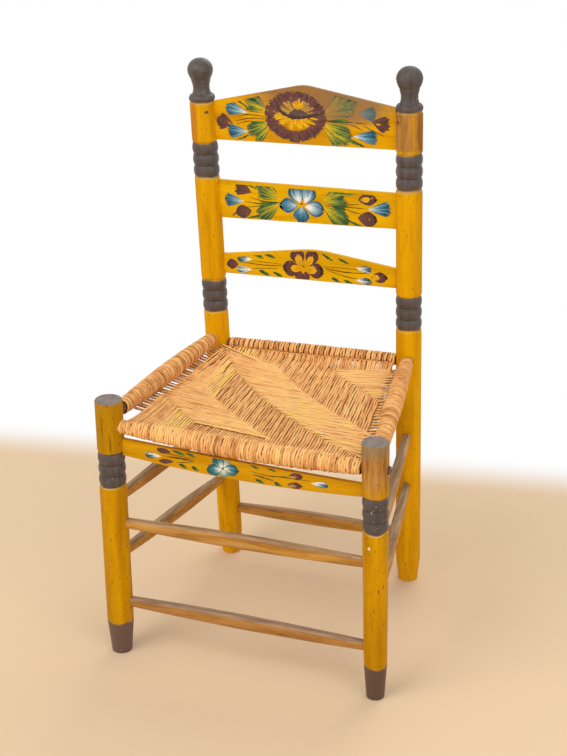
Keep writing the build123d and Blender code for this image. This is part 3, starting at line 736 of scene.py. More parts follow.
lowerFlowers = [
    stroke([(-46, 573), (-84, 571), (-122, 573)], 1.8, "stem"),
    stroke([(-48, 575), (-76, 576), (-108, 577)], 1.1, "stem"),
    stroke([(-56, 567), (-84, 565), (-110, 562)], 1.2, "stem"),
    stroke([(22, 576), (60, 571), (104, 572)], 2.0, "stem"),
    stroke([(24, 578), (56, 578), (86, 577)], 1.1, "stem"),
    stroke([(28, 573), (60, 564), (92, 560)], 1.4, "stem"),
    stroke([(-104, 589), (-92, 587), (-83, 583)], 6.5, "shoot"),
    stroke([(-82, 591), (-72, 589), (-61, 585)], 6.0, "shoot"),
    stroke([(-92, 561), (-82, 557), (-73, 553)], 6.5, "shoot"),
    stroke([(-66, 560), (-57, 556), (-48, 551)], 6.5, "shoot"),
    stroke([(22, 600), (32, 594), (42, 589)], 4.9, "shoot"),
    stroke([(50, 594), (60, 590), (70, 586)], 4.9, "shoot"),
    stroke([(38, 559), (46, 556), (53, 551)], 6.0, "shoot"),
    stroke([(60, 557), (68, 554), (76, 551)], 6.0, "shoot"),
    whiteTulip((-103, 579), 178, 29, 23),
    whiteTulip((-104, 561), 184, 28, 23),
    whiteTulip((80, 580), -3, 29, 20),
    whiteTulip((80, 559), -3, 29, 20),
    petal((-130, 569), 184, 21, 17, "plum"),
    petal((108, 567), 0, 28, 18, "plum"),
    petal((106, 566.5), 0, 17, 9, "heart"),
    petal((-17, 570), 182, 31, 27, "plum"),
    petal((-14, 570), 180, 22, 12, "heart"),
    petal((-6, 570), -4, 30, 26, "plum"),
    petal((-9, 570), -2, 23, 13, "heart"),
    petal((-15, 579), 115, 28, 25, "plum"),
    petal((-15, 576), 112, 21, 12, "heart"),
    petal((-2, 579), 66, 28, 22, "plum"),
    petal((-4, 575), 66, 23, 10, "heart"),
    petal((-16, 566), -105, 19, 16, "plum"),
    petal((-8, 566), -80, 17, 11, "plum"),
    stroke([(-13, 575), (-10, 575.6)], 3.0, "bud"),
]
apronFlowers = [
    stroke([(-68, 374), (-92, 376), (-116, 376)], 3.0, "stem"),
    stroke([(-70, 372), (-86, 370), (-100, 368)], 1.2, "stem"),
    stroke([(-70, 377), (-96, 380), (-124, 383)], 1.2, "stem"),
    stroke([(24, 371), (56, 367), (90, 371)], 1.5, "stem"),
    stroke([(28, 366), (46, 363), (62, 360)], 2.4, "stem"),
    stroke([(62, 368), (90, 368), (122, 368)], 1.1, "stem"),
    stroke([(-105, 389), (-94, 386), (-84, 382)], 6.0, "shoot"),
    stroke([(-82, 388), (-74, 385), (-66, 381)], 5.5, "shoot"),
    stroke([(-95, 366), (-88, 364), (-82, 360)], 6.5, "shoot"),
    stroke([(-73, 365), (-68, 362), (-62, 359)], 6.5, "shoot"),
    stroke([(22, 384), (30, 380), (38, 377)], 5.2, "shoot"),
    stroke([(50, 382), (58, 379), (66, 376)], 5.2, "shoot"),
    stroke([(32, 358), (39, 356), (46, 353)], 5.7, "shoot"),
    stroke([(62, 358), (68, 355), (75, 353)], 6.2, "shoot"),
    petal((-108, 384), 172, 23, 9, "plum"),
    petal((-104, 369), 186, 25, 7, "plum"),
    petal((87, 373), -1, 22, 11, "plum"),
    petal((88, 371), 0, 12, 4, "brownHeart"),
    petal((84, 357), 0, 24, 10, "plum"),
    petal((86, 356), 0, 13, 4, "brownHeart"),
    whiteTulip((-124, 375), 180, 28, 18),
    whiteTulip((121, 365), -2, 28, 17),
    petal((-21, 367), -85, 13, 15, "paleTeal", 0.8),
    petal((-20, 370), 60, 19, 15, "paleTeal", 0.8),
    petal((-22, 368), 194, 27, 19, "teal", 0.62, 0.7),
    petal((-21, 370), 124, 24, 19, "teal", 0.62, 0.7),
    petal((-20, 369), -3, 26, 19, "teal", 0.62, 0.7),
    stroke([(-23, 368), (-19, 371)], 3.4, "stem"),
]
flowerPaint = flowerMaterial()
paintBoard("crestFlowers", "crest_slat", crestFlowers)
paintBoard("middleSlatFlowers", "middle_slat", middleFlowers)
paintBoard("lowerSlatFlowers", "lower_slat", lowerFlowers)
paintBoard("apronFlowers", "front_apron", apronFlowers)
print("the flowers are painted")


# Worn stretchers and bare rails.
woodPatches = {"grain": 8.33, "rubbed": 33.3, "specks": 3.33}     # in millimetres across the grain


def wornMaterial(name, look):
    # Split wood with a thin mustard wash, rubbed grey-brown on top: matt, and streaked along its run.
    material = newMaterial(name)
    tree = material.node_tree
    place = addNode(tree, "ShaderNodeTexCoord").outputs["Object"]
    grainPlace = addNode(tree, "ShaderNodeMapping", {"Vector": place, "Scale": look["grain"]})
    fine = addNode(
        tree, "ShaderNodeTexNoise",
        {"Vector": grainPlace, "Scale": 1 / (woodPatches["grain"] * mm), "Detail": 5.0, "Roughness": 0.65})
    top = addNode(tree, "ShaderNodeValToRGB", {"Fac": fine}, stops=zip((0.3, 0.52, 0.7), look["top"]))
    side = addNode(tree, "ShaderNodeValToRGB", {"Fac": fine}, stops=zip((0.3, 0.52, 0.7), look["side"]))
    facing = addNode(tree, "ShaderNodeNewGeometry").outputs["Normal"]
    upward = addNode(tree, "ShaderNodeSeparateXYZ", {"Vector": facing}).outputs["Z"]
    cloud = addNode(
        tree, "ShaderNodeTexNoise",
        {"Vector": grainPlace, "Scale": 1 / (woodPatches["rubbed"] * mm), "Detail": 4.0})
    ragged = addNode(tree, "ShaderNodeMath", {0: upward, 1: cloud}, operation="ADD")
    rubbed = addNode(
        tree, "ShaderNodeMapRange",
        {"Value": ragged, "From Min": look["rubbedFrom"], "From Max": look["rubbedTo"]})
    speckPlace = addNode(tree, "ShaderNodeMapping", {"Vector": place, "Scale": look["speckShape"]})
    specks = patches(tree, speckPlace, woodPatches["specks"], 0.71, 0.76, 1.0)
    colour = layered(tree, side, (rubbed, top), (specks, look["speckColour"]))
    grained = addNode(
        tree, "ShaderNodeBump", {"Height": fine, "Strength": 0.3, "Distance": look["grainDepth"] * mm})
    shader = addNode(
        tree, "ShaderNodeBsdfPrincipled",
        {"Base Color": colour, "Roughness": look["roughness"], "Normal": grained,
         "Specular IOR Level": look["specular"]})
    addNode(tree, "ShaderNodeOutputMaterial", {"Surface": shader})
    return material


splitWood = {
    "roughness": 0.62, "specular": 0.35,
    "grainDepth": 0.7,                        # millimetres
    "rubbedFrom": 0.6, "rubbedTo": 0.88,      # how far a face turns up before its wash is rubbed off
}
wash = dict(splitWood, **{
    "top": ("#866442", "#B0885C", "#C6A47C"),
    "side": ("#8E5A1E", "#C08632", "#D89E40"),
    "speckColour": "#6E4820",
    "grain": (0.1, 1.0, 1.0), "speckShape": (0.4, 1.0, 1.0),      # both stretched along x
})
washLow = dict(
    wash, top=("#705842", "#9C7C5E", "#B6967C"), side=("#84521E", "#AE7838", "#C88E4A"))
washDeep = dict(
    wash, top=("#7E5E3C", "#A88A60", "#C0A078"), grain=(1.0, 0.1, 1.0), speckShape=(1.0, 0.4, 1.0))
bare = dict(splitWood, **{
    "top": ("#4A2C1A", "#6B4429", "#8A5E3C"),
    "side": ("#4A2C1A", "#6B4429", "#8A5E3C"),
    "speckColour": "#3C2414",
    "grain": (0.3, 0.3, 1.0), "speckShape": (1.0, 1.0, 1.0),
})
woods = {
    "washedWoodAcross": (wash, ["front_stretcher_upper", "rear_stretcher"]),
    "washedWoodLow": (washLow, ["front_stretcher_lower"]),
    "washedWoodDeep": (washDeep, [
        "left_stretcher_upper", "left_stretcher_lower", "right_stretcher_upper", "right_stretcher_lower"]),
    "bareWood": (bare, [
        "seat_rail_front", "seat_rail_rear", "seat_rail_left", "seat_rail_right", "crest_pins"]),
}
for woodName, (look, nodeNames) in woods.items():
    material = wornMaterial(woodName, look)
    for nodeName in nodeNames:
        nodes[nodeName].material_slots[0].material = material
print("stretchers and rails have their wood")


# The rush seat. Distances are in millimetres and turn to metres when a strand is made a mesh.
# A strand's "lump" is how high its lumps are, and "lumpScale" how many there are to a metre.
class Rail:
    # A rail's axis, from its CAD node, read by the coordinate that it runs along.
    def __init__(self, name, axis):
        points = [v.co / mm for v in nodes[name].data.vertices]
        self.axis = axis
        ends = []
        for level in (min(p[axis] for p in points), max(p[axis] for p in points)):
            face = [p for p in points if abs(p[axis] - level) < 2.2]
            ends.append(sum(face, Vector()) / len(face))
        self.start, self.end = ends

    def share(self, coordinate):
        return (coordinate - self.start[self.axis]) / (self.end[self.axis] - self.start[self.axis])

    def at(self, coordinate):
        return self.start.lerp(self.end, self.share(coordinate))


frontRail = Rail("seat_rail_front", 0)
rearRail = Rail("seat_rail_rear", 0)
leftRail = Rail("seat_rail_left", 1)
rightRail = Rail("seat_rail_right", 1)
frontY = frontRail.start.y
rearY = rearRail.start.y

seat = {
    "frontLift": 9.4,          # the seat's face over the front rail's axis, in the middle
    "rearDrop": 10.6,          # below the rear rail's axis
    "sideDrop": 8.6,           # below the side rails' axes
    "dish": 1.8,               # how far the middle sinks
    "bandEdges": (-231, -131, -32, 68, 184, 290),    # diagonal bands where the cords lie on top
    "bandBow": 0.0004, "bandBowMiddle": -27,         # how far they bend, and round which place
    "bandRagged": 4,           # how uneven a band's edge is
    "turnLength": 5.0,         # over which a cord dives from the top to below
    "turnMiddle": 0.15,        # how far up it still is right at a band's edge
    "lift": 1.4,               # of a strand over or under the layer's middle
    "oldTint": 0.14, "oldX": 0, "oldFade": 130,      # the left half is browner
}
# The two layers of weave. "depth" runs from the seat's face down to a layer's middle, "step" from
# point to point along a strand, and "leave" is how far cords take to come down from the front roll.
layers = {
    "top": {
        "side": 1, "depth": 2.2, "step": 6.0, "cordSeed": 100, "crossSeed": 0,
        "rearDrop": 4, "leave": 30,
        "cords": "seatCordsTop", "crossing": "seatStrandsTop", "node": "seat_weave_top"},
    "under": {
        "side": -1, "depth": 7.2, "step": 9.0, "cordSeed": 500, "crossSeed": 4000,
        "rearDrop": 7, "leave": 45,
        "cords": "seatCordsUnder", "crossing": "seatStrandsUnder", "node": "seat_weave_under"},
}


def smooth(value):
    value = min(max(value, 0), 1)
    return value * value * (3 - 2 * value)


def luck(x, y, z=0):
    # A repeatable random number from -1 to 1 that changes gently with x, y and z.
    return noise.noise(Vector((x, y, z)))


def wander(drift, number, along):
    # A random drift along a strand. It is given by how far it goes, the millimetres between its
    # turns, and a key that tells it from the strand's other drifts.
    amount, length, key = drift
    return amount * luck(along / length, (number + key) * 7.31, 0.5)


def sheetHeight(x, y):
    # The seat's face: a parabola from side rail to side rail through the dished middle.
    left, right = leftRail.at(y), rightRail.at(y)
    share = (x - left.x) / (right.x - left.x)
    back = min(max((y - frontY) / (rearY - frontY), 0), 1)
    front = frontRail.at(0).z + seat["frontLift"]
    rear = rearRail.at(0).z - seat["rearDrop"]
    middle = front + (rear - front) * back - seat["dish"] * sin(pi * back)
    low, high = left.z - seat["sideDrop"], right.z - seat["sideDrop"]
    return (
        low * (1 - share) * (1 - 2 * share) + 4 * middle * share * (1 - share)
        + high * share * (2 * share - 1))


def cordsOnTop(x, y):
    # From 1 where the front-to-back cords show to -1 where the cross strands do.
    across = x - y - seat["bandBowMiddle"]
    along = x + y - seat["bandBow"] * across * across + seat["bandRagged"] * luck(x / 5, y / 5, 3)
    nearest = min(abs(along - edge) for edge in seat["bandEdges"]) / sqrt(2)
    passed = sum(along > edge for edge in seat["bandEdges"])
    return (-1 if passed % 2 else 1) * smooth(nearest / seat["turnLength"] + seat["turnMiddle"])


def rushTree():
    # Sweeps each line of a mesh into a lumpy flattened strand.
    tree = bpy.data.node_groups.new("rushStrand", "GeometryNodeTree")
    sockets = {
        "Lines": "Geometry", "Width": "Float", "Thickness": "Float", "Lump Height": "Float",
        "Lump Scale": "Float", "Sides": "Int", "Material": "Material"}
    for name, kind in sockets.items():
        tree.interface.new_socket(name, in_out="INPUT", socket_type="NodeSocket" + kind)
    tree.interface.new_socket("Strands", in_out="OUTPUT", socket_type="NodeSocketGeometry")
    given = addNode(tree, "NodeGroupInput").outputs

    # The path, turned so that a strand lies flat, with its length kept for the fibres.
    curve = addNode(tree, "GeometryNodeMeshToCurve", {"Mesh": given["Lines"]})
    lie = addNode(tree, "GeometryNodeInputNamedAttribute", {"Name": "lie"}, data_type="FLOAT_VECTOR")
    turned = addNode(tree, "GeometryNodeSetCurveNormal", {"Curve": curve, "Normal": lie}, mode="FREE")
    along = addNode(tree, "GeometryNodeSplineParameter").outputs["Length"]
    path = addNode(
        tree, "GeometryNodeStoreNamedAttribute", {"Geometry": turned, "Name": "along", "Value": along},
        data_type="FLOAT", domain="POINT")

    # The section, with "crown" kept: 1 on top, -1 underneath.
    ring = addNode(tree, "GeometryNodeCurvePrimitiveCircle", {"Resolution": given["Sides"], "Radius": 0.5})
    size = addNode(
        tree, "ShaderNodeCombineXYZ", {"X": given["Thickness"], "Y": given["Width"], "Z": 1.0})
    flattened = addNode(tree, "GeometryNodeTransform", {"Geometry": ring, "Scale": size})
    around = addNode(tree, "GeometryNodeSplineParameter").outputs["Factor"]
    angle = addNode(tree, "ShaderNodeMath", {0: around, 1: 2 * pi}, operation="MULTIPLY")
    crown = addNode(tree, "ShaderNodeMath", {0: angle}, operation="COSINE")
    section = addNode(
        tree, "GeometryNodeStoreNamedAttribute", {"Geometry": flattened, "Name": "crown", "Value": crown},
        data_type="FLOAT", domain="POINT")
    girth = addNode(tree, "GeometryNodeInputNamedAttribute", {"Name": "girth"}, data_type="FLOAT")
    swept = addNode(
        tree, "GeometryNodeCurveToMesh",
        {"Curve": path, "Profile Curve": section, "Scale": girth, "Fill Caps": True})

    # Lumps, pushed in and out along the normals.
    here = addNode(tree, "GeometryNodeInputPosition")
    lumps = addNode(
        tree, "ShaderNodeTexNoise", {"Vector": here, "Scale": given["Lump Scale"], "Detail": 1.0})
    height = addNode(tree, "ShaderNodeMath", {0: lumps, 1: 0.5}, operation="SUBTRACT")
    scaled = addNode(tree, "ShaderNodeMath", {0: height, 1: given["Lump Height"]}, operation="MULTIPLY")
    outward = addNode(tree, "GeometryNodeInputNormal")
    push = addNode(tree, "ShaderNodeVectorMath", {0: outward, "Scale": scaled}, operation="SCALE")
    lumpy = addNode(tree, "GeometryNodeSetPosition", {"Geometry": swept, "Offset": push})
    rounded = addNode(tree, "GeometryNodeSetShadeSmooth", {"Geometry": lumpy})
    real = addNode(tree, "GeometryNodeRealizeInstances", {"Geometry": rounded})
    dressed = addNode(
        tree, "GeometryNodeSetMaterial", {"Geometry": real, "Material": given["Material"]})
    addNode(tree, "NodeGroupOutput", {"Strands": dressed})
    return tree


def growStrands(name, strands, size, replaced=()):
    # Lays the strands' lines out as one mesh and sweeps them with the rush tree. A strand is its rows
    # of place, lie, girth and tint, and whether it closes to a ring.
    rows, edges = [], []
    for line, closed in strands:
        first = len(rows)
        rows += line
        edges += [(i, i + 1) for i in range(first, len(rows) - 1)]
        if closed:
            edges.append((len(rows) - 1, first))
    places, lies, girths, tints = zip(*rows)
    mesh = bpy.data.meshes.new(name + "Lines")
    mesh.from_pydata([place * mm for place in places], edges, [])
    flat = [part for lie in lies for part in lie]
    mesh.attributes.new("lie", "FLOAT_VECTOR", "POINT").data.foreach_set("vector", flat)
    mesh.attributes.new("girth", "FLOAT", "POINT").data.foreach_set("value", girths)
    mesh.attributes.new("tint", "FLOAT", "POINT").data.foreach_set("value", tints)
    lines = bpy.data.objects.new(name + "Lines", mesh)
    scene.collection.objects.link(lines)
    grower = lines.modifiers.new("rush", "NODES")
    grower.node_group = strandTree
    values = {
        "Width": size["width"] * mm, "Thickness": size["thickness"] * mm, "Lump Height": size["lump"] * mm,
        "Lump Scale": size["lumpScale"], "Sides": size["sides"], "Material": rush}
    for socket in strandTree.interface.items_tree:
        if socket.in_out == "INPUT" and socket.name in values:
            grower[socket.identifier] = values[socket.name]
    evaluated = lines.evaluated_get(bpy.context.evaluated_depsgraph_get())
    grown = bpy.data.meshes.new_from_object(evaluated)
    grown.name = name
    bpy.data.meshes.remove(mesh)
    piece = bpy.data.objects.new(name, grown)
    scene.collection.objects.link(piece)
    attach(piece, "root")
    if replaced:
        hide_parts(*replaced)
    triangles = sum(len(p.vertices) - 2 for p in grown.polygons)
    print(name, "has", len(strands), "strands and", triangles, "triangles")


rushLook = {
    "straw": ("#80522A", "#CC8A4A", "#F8B66E", "#FFCC82", "#FFD05C"),     # from old and brown to fresh
    "roughness": 0.62, "specular": 0.25,
    "groove": "#845228",       # painted shade on strands' sides and undersides, where they touch
    "fibre": 14.3,             # millimetres that a streak of fibre runs
    "fibresAcross": 3.2,       # drawn coarser than the real half millimetre so that they show
    "blotch": 22.2,            # millimetres across a paler or darker patch
    "unevenness": 0.17,        # how far streaks and blotches move a strand's tint
}


def rushMaterial():
    # Dried rush, twisted by hand: matt straw with fine fibres along each strand.
    material = newMaterial("twistedRush")
    tree = material.node_tree
    tint = addNode(tree, "ShaderNodeAttribute", attribute_name="tint").outputs["Fac"]
    along = addNode(tree, "ShaderNodeAttribute", attribute_name="along").outputs["Fac"]
    crown = addNode(tree, "ShaderNodeAttribute", attribute_name="crown").outputs["Fac"]
    place = addNode(tree, "ShaderNodeTexCoord").outputs["Object"]
    shifted = addNode(tree, "ShaderNodeMath", {0: tint, 1: 37.0}, operation="MULTIPLY")
    onStrand = addNode(tree, "ShaderNodeCombineXYZ", {"X": along, "Y": crown, "Z": shifted})
    fibrePlace = addNode(
        tree, "ShaderNodeMapping",
        {"Vector": onStrand, "Scale": (1 / (rushLook["fibre"] * mm), rushLook["fibresAcross"], 1.0)})
    fibres = addNode(
        tree, "ShaderNodeTexNoise", {"Vector": fibrePlace, "Scale": 1.0, "Detail": 3.0, "Roughness": 0.65})
    blotches = addNode(
        tree, "ShaderNodeTexNoise", {"Vector": place, "Scale": 1 / (rushLook["blotch"] * mm), "Detail": 2.0})
    tone = addNode(tree, "ShaderNodeMath", {0: fibres, 1: blotches}, operation="ADD")
    spread = addNode(
        tree, "ShaderNodeMapRange",
        {"Value": tone, "From Min": 0.7, "From Max": 1.3,
         "To Min": -rushLook["unevenness"], "To Max": rushLook["unevenness"]})
    mixed = addNode(tree, "ShaderNodeMath", {0: spread, 1: tint}, operation="ADD", use_clamp=True)
    straw = addNode(
        tree, "ShaderNodeValToRGB", {"Fac": mixed}, stops=zip((0.0, 0.25, 0.5, 0.75, 1.0), rushLook["straw"]))
    # Painted shade: each strand is drawn in the groove colour towards its sides and underside, by its crown.
    outer = addNode(
        tree, "ShaderNodeMapRange", {"Value": crown, "From Min": -0.25, "From Max": 0.85},
        interpolation_type="SMOOTHSTEP")
    colour = layered(tree, rushLook["groove"], (outer, straw))
    bump = addNode(tree, "ShaderNodeBump", {"Height": fibres, "Strength": 0.35, "Distance": 0.6 * mm})
    shader = addNode(
        tree, "ShaderNodeBsdfPrincipled",
        {"Base Color": colour, "Roughness": rushLook["roughness"], "Normal": bump,
         "Specular IOR Level": rushLook["specular"]})
    addNode(tree, "ShaderNodeOutputMaterial", {"Surface": shader})
    return material


crossStrands = {
    "groups": 32, "perGroup": 3,
    "leftFirst": -121, "leftLast": 166,      # where the first and last bundle leave the left rail
    "rightFirst": -160, "rightLast": 161,
    "inset": 7,                              # from a side rail's axis to a strand's end
    "sag": 13, "rearSag": 21,                # how far their middles are drawn to the front
    "bundlePitch": 0.8,                      # within a bundle next to the rolls
    "bundleGirth": 0.62,
    "jolt": 3.6,                             # how unevenly the bundles are spaced there
    "leftStart": 19, "rightStart": 9,        # from a bundle's start to where it begins to spread
    "leftGap": 18, "rightGap": 18,           # over which it spreads out
    "late": 6,                               # how unevenly they begin to
    "tint": 0.68, "tintSpread": 0.34, "tightTint": 0.1,      # darker where they lie tight together
    "sway": (1.1, 24, 0), "shiver": (0.5, 9, 400), "ripple": (0.6, 17, 900),
    "thickening": (0.22, 18, 1300), "mottle": (0.12, 30, 1700),
    "size": {"width": 3.3, "thickness": 2.5, "lump": 0.4, "lumpScale": 260.0, "sides": 6},
}
upright = Vector((0, 0, 1))


def layCrossStrands(layer):
    # Bundles that leave the side rolls and spread out over the seat, above and below the cords.
    look = crossStrands
    topDepth = layers["top"]["depth"]
    strands = []
    for group in range(look["groups"]):
        back = (group + 0.5) / look["groups"]
        leftY = look["leftFirst"] + (look["leftLast"] - look["leftFirst"]) * back
        rightY = look["rightFirst"] + (look["rightLast"] - look["rightFirst"]) * back
        pitch = (leftY - look["leftFirst"] + rightY - look["rightFirst"]) / 2 / (group + 0.5)
        startX = leftRail.at(leftY).x + look["inset"]
        endX = rightRail.at(rightY).x - look["inset"]
        sag = look["sag"] + look["rearSag"] * back ** 4
        jolt = look["jolt"] * luck(group * 1.9, layer["crossSeed"], 2.5)
        late = look["late"] * luck(group * 2.7, 5.5)
        steps = int((endX - startX) / layer["step"])
        for item in range(look["perGroup"]):
            number = layer["crossSeed"] + group * look["perGroup"] + item
            offset = item - (look["perGroup"] - 1) / 2
            tint = look["tint"] + look["tintSpread"] * luck(number * 3.7, 1.5)
            rows = []
            for i in range(steps + 1):
                share = i / steps
                x = startX + (endX - startX) * share
                y = leftY + (rightY - leftY) * share - sag * 4 * share * (1 - share)
                spread = smooth(min(
                    (x - startX - look["leftStart"] - late) / look["leftGap"],
                    (endX - x - look["rightStart"] - late) / look["rightGap"]))
                apart = look["bundlePitch"] * (1 - spread) + pitch / look["perGroup"] * spread
                y += jolt * (1 - spread) + offset * apart
                y += spread * wander(look["sway"], number, x) + wander(look["shiver"], number, x)
                lift = -cordsOnTop(x, y) * layer["side"] * spread * seat["lift"]
                deep = topDepth + (layer["depth"] - topDepth) * (0.3 + 0.7 * spread)
                z = sheetHeight(x, y) - deep + lift + wander(look["ripple"], number, x)
                thin = look["bundleGirth"] + (1 - look["bundleGirth"]) * spread
                old = seat["oldTint"] * smooth((seat["oldX"] - x) / seat["oldFade"])
                rows.append((
                    Vector((x, y, z)), upright, thin * (1 + wander(look["thickening"], number, x)),
                    tint + wander(look["mottle"], number, x) - look["tightTint"] * (1 - spread) - old))
            strands.append((rows, False))
    return strands


looseStrand = {
    "start": (-160, 160), "end": (-58, 116), "rise": 2.5, "tint": 0.78, "step": 4,
    "thickening": (0.2, 18, 71),
}


def looseCorner():
    # One strand that runs over the others from the rear left corner.
    start, end = Vector(looseStrand["start"]), Vector(looseStrand["end"])
    steps = int((end - start).length / looseStrand["step"])
    rows = []
    for i in range(steps + 1):
        here = start.lerp(end, i / steps)
        rise = looseStrand["rise"] * (1 - (i / steps) ** 3) - 1
        place = Vector((here.x, here.y, sheetHeight(here.x, here.y) + rise))
        girth = 1 + wander(looseStrand["thickening"], 0, here.x)
        rows.append((place, upright, girth, looseStrand["tint"]))
    return [(rows, False)]


cords = {
    "count": 80,
    "frontInset": (27.6, 31.6),              # from the left and right rails' axes to the outermost cords
    "rearInset": (23.4, 25.4),
    "thinOut": 0.2,                          # left of this share every other cord ends half way
    "halfWay": (70, 130),                    # where those cords end, front to back
    "pinch": 0.75,                           # how far each is drawn to its pair at the rear roll
    "riseLength": 26,                        # over which they rise to the rear roll
    "start": 3, "end": 5,                    # how far short of the rails' axes they begin and end
    "bury": 2,                               # how deep they lie in the front roll
    "freshX": -108, "freshHalf": 14, "freshTint": 0.24,      # a bundle of fresher, yellower cords
    "tint": 0.53, "tintSpread": 0.3,
    "sway": (1.5, 28, 0), "ripple": (0.6, 14, 300), "thickening": (0.3, 14, 700), "mottle": (0.07, 25, 1100),
    "lean": 0.9,                             # how far each strays sideways as a whole
    "size": {"width": 4.4, "thickness": 3.4, "lump": 0.5, "lumpScale": 260.0, "sides": 6},
}
# Rings of rush round each rail. "end" and "middle" are a roll's radius there, "low" and "high" where it
# starts and stops along its rail, and "slant" how far each turn leans over.
rollLook = {
    "sag": 0, "pairing": 0, "tint": 0.5, "tintSpread": 0.42, "lump": 0.9, "lumpScale": 230.0, "sides": 6,
    "ringPoints": 22, "shift": 1.5, "slantSpread": 0.11, "placeSpread": 0.35, "girthSpread": 0.24,
    "ragged": 0.05, "raggedBelow": 0.09, "mottle": 0.1,
}
sideRoll = dict(rollLook, pitch=3.0, thickness=3.0, width=3.4, end=10.4)
rolls = {
    "frontRushRoll": dict(
        rollLook, rail=frontRail, node="rush_roll_front", low=-198, high=198, end=10.6, middle=16.6, sag=5.2,
        pitch=4.1, thickness=3.6, width=5.0, slant=0.03, seed=11),
    "rearRushRoll": dict(
        rollLook, rail=rearRail, node="rush_roll_rear", low=-150, high=147, end=10.4, middle=11.5,
        pitch=4.6, thickness=3.4, width=4.3, slant=0.1, seed=23, pairing=0.4),
    "leftRushRoll": dict(
        sideRoll, rail=leftRail, node="rush_roll_left", low=-141, high=157, middle=16.0, slant=0.16,
        seed=37, tint=0.44),
    "rightRushRoll": dict(
        sideRoll, rail=rightRail, node="rush_roll_right", low=-157, high=157, middle=14.8, slant=-0.1,
        seed=53, tint=0.42),
}
# Two thin strands that cross between the rear roll's pairs, along its lower front.
binding = {
    # Painted light and shade: the strands are drawn paler where they weave out over a pair and darker where
    # they dip in.
    "angle": 12, "girth": 0.6, "tint": 0.38, "paintedShadeSwing": 0.3, "step": 1.6,
    "inset": 3,                              # from the roll's ends
    "swing": 0.9, "turn": 0.07,              # how far it weaves out and in, and down and up in radians
    "drift": (0.16, 11, 0),
}


def rollRadius(roll, coordinate):
    # A roll's radius at one place, and how far it sags there.
    swell = sin(pi * min(max(roll["rail"].share(coordinate), 0), 1))
    return roll["end"] + (roll["middle"] - roll["end"]) * swell, roll["sag"] * swell


def freshTint(x):
    return cords["freshTint"] * smooth(2 - abs(x - cords["freshX"]) / cords["freshHalf"])


def cordStarts():
    # Front and rear X of each cord, whether it ends half way, and how far it is pinched.
    lowFront = leftRail.at(frontY).x + cords["frontInset"][0]
    highFront = rightRail.at(frontY).x - cords["frontInset"][1]
    lowRear = leftRail.at(rearY).x + cords["rearInset"][0]
    highRear = rightRail.at(rearY).x - cords["rearInset"][1]
    places = []
    weight = 0
    arrived = 0
    total = cords["count"] * (1 - cords["thinOut"] / 2)
    for number in range(cords["count"]):
        share = (number + 0.5) / cords["count"]
        thin = share < cords["thinOut"]
        weight += 0.5 if thin else 1
        front = lowFront + (highFront - lowFront) * share
        rear = lowRear + (highRear - lowRear) * (weight - 0.5) / total
        ends = thin and number % 2 == 1
        arrived += 0 if ends else 1
        pinch = cords["pinch"] * (1 if arrived % 2 == 0 else -1) * (0.8 + 1.2 * luck(number * 0.45, 3.5))
        places.append((number, front, rear, ends, pinch))
    return places


def layCords(layer):
    # Cords from the front roll to the rear one, over and under the cross strands by bands.
    side = layer["side"]
    strands = []
    for number, frontX, rearX, ends, pinch in cordStarts():
        seed = number + layer["cordSeed"]
        radius, sag = rollRadius(rolls["frontRushRoll"], frontX)
        rollZ = frontRail.at(frontX).z - sag + side * (radius - cords["bury"])
        rearZ = rearRail.at(rearX).z - layer["rearDrop"]
        firstY = frontY - cords["start"]
        lastY = rearY - cords["end"]
        if ends:
            lastY = cords["halfWay"][0] + (cords["halfWay"][1] - cords["halfWay"][0]) * (number % 5) / 4
        steps = int((lastY - firstY) / layer["step"])
        tint = cords["tint"] + cords["tintSpread"] * luck(number * 5.3 + layer["cordSeed"], 9.5)
        lean = cords["lean"] * luck(number * 3.3, 2.5, layer["cordSeed"])
        rows = []
        for i in range(steps + 1):
            y = firstY + (lastY - firstY) * i / steps
            share = (y - frontY) / (rearY - frontY)
            nearRear = smooth((y - rearY + cords["riseLength"]) / cords["riseLength"] * 1.5)
            x = frontX + (rearX - frontX) * share + wander(cords["sway"], seed, y) * smooth(share * 8)
            x += lean * smooth(share * 2) + pinch * nearRear
            lift = cordsOnTop(x, y) * side * (1 - nearRear) * seat["lift"]
            sheet = sheetHeight(x, y) - layer["depth"] + lift
            z = rollZ + (sheet - rollZ) * smooth((y - frontY) / layer["leave"])
            z += (rearZ - z) * nearRear
            z += wander(cords["ripple"], seed, y)
            rows.append((
                Vector((x, y, z)), upright, 1 + wander(cords["thickening"], seed, y),
                tint + wander(cords["mottle"], seed, y) + freshTint(frontX)))
        strands.append((rows, False))
    return strands


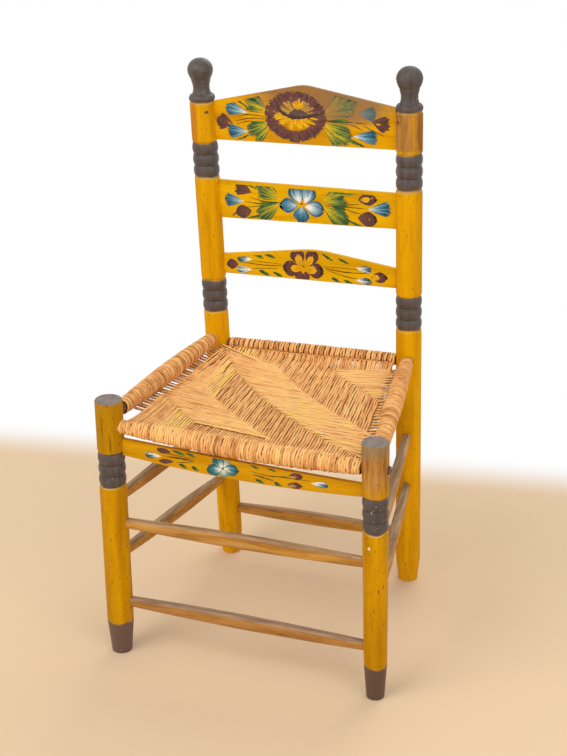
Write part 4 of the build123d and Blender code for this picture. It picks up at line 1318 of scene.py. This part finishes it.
def ringStrand(roll, place, number):
    # One closed turn of rush round a rail, rougher underneath.
    rail = roll["rail"]
    outer, sag = rollRadius(roll, place)
    radius = outer - roll["thickness"] / 2
    tint = roll["tint"] + roll["tintSpread"] * luck(number * 4.7, 7.5)
    if rail is frontRail:
        tint += freshTint(place)
    slant = roll["slant"] + roll["slantSpread"] * luck(number * 2.9, 1.5)
    centre = rail.at(place) - Vector((0, 0, sag))
    direction = (rail.end - rail.start).normalized()
    out = direction.cross(upright).normalized()
    up = out.cross(direction)
    rows = []
    for i in range(roll["ringPoints"]):
        angle = 2 * pi * i / roll["ringPoints"]
        c, s = cos(angle), sin(angle)
        lie = out * c + up * s
        ragged = roll["ragged"] + roll["raggedBelow"] * max(0, -s)
        bulge = radius * (1 + ragged * luck(number * 1.7, c, s))
        shift = slant * radius * s + roll["shift"] * luck(number * 2.3, 2 * c, 2 * s)
        rows.append((
            centre + lie * bulge + direction * shift, lie,
            1 + roll["girthSpread"] * luck(number * 3.1, 3 * c, 3 * s),
            tint + roll["mottle"] * luck(number * 0.7, 2 * c, s)))
    return rows, True


def bindingRow(roll):
    strands = []
    for phase in (0, pi):
        rows = []
        x = roll["low"] + binding["inset"]
        while x < roll["high"] - binding["inset"]:
            radius, sag = rollRadius(roll, x)
            wave = sin(pi * x / roll["pitch"] + phase)
            reach = radius + 0.3 + binding["swing"] * wave
            angle = radians(binding["angle"]) + binding["turn"] * wave + wander(binding["drift"], phase, x)
            lie = Vector((0, -cos(angle), -sin(angle)))
            place = roll["rail"].at(x) + Vector((0, -reach * cos(angle), -reach * sin(angle) - sag))
            rows.append((place, lie, binding["girth"], binding["tint"] + binding["paintedShadeSwing"] * wave))
            x += binding["step"]
        strands.append((rows, False))
    return strands


def makeRoll(name, roll):
    strands = []
    count = int((roll["high"] - roll["low"]) / roll["pitch"])
    for i in range(count + 1):
        number = roll["seed"] * 40 + i
        place = roll["low"] + (roll["high"] - roll["low"]) * i / count
        place += roll["placeSpread"] * luck(number * 1.9, 4.5)
        place += -roll["pairing"] if i % 2 else roll["pairing"]
        strands.append(ringStrand(roll, place, number))
    if roll["rail"] is rearRail:
        strands += bindingRow(roll)
    growStrands(name, strands, roll, [roll["node"]])


rush = rushMaterial()
strandTree = rushTree()
for rollName, roll in rolls.items():
    makeRoll(rollName, roll)
for layer in layers.values():
    growStrands(layer["cords"], layCords(layer), cords["size"], [layer["node"]])
    crossing = layCrossStrands(layer)
    if layer["side"] > 0:
        crossing += looseCorner()
    growStrands(layer["crossing"], crossing, crossStrands["size"])
print("the rush seat is woven")
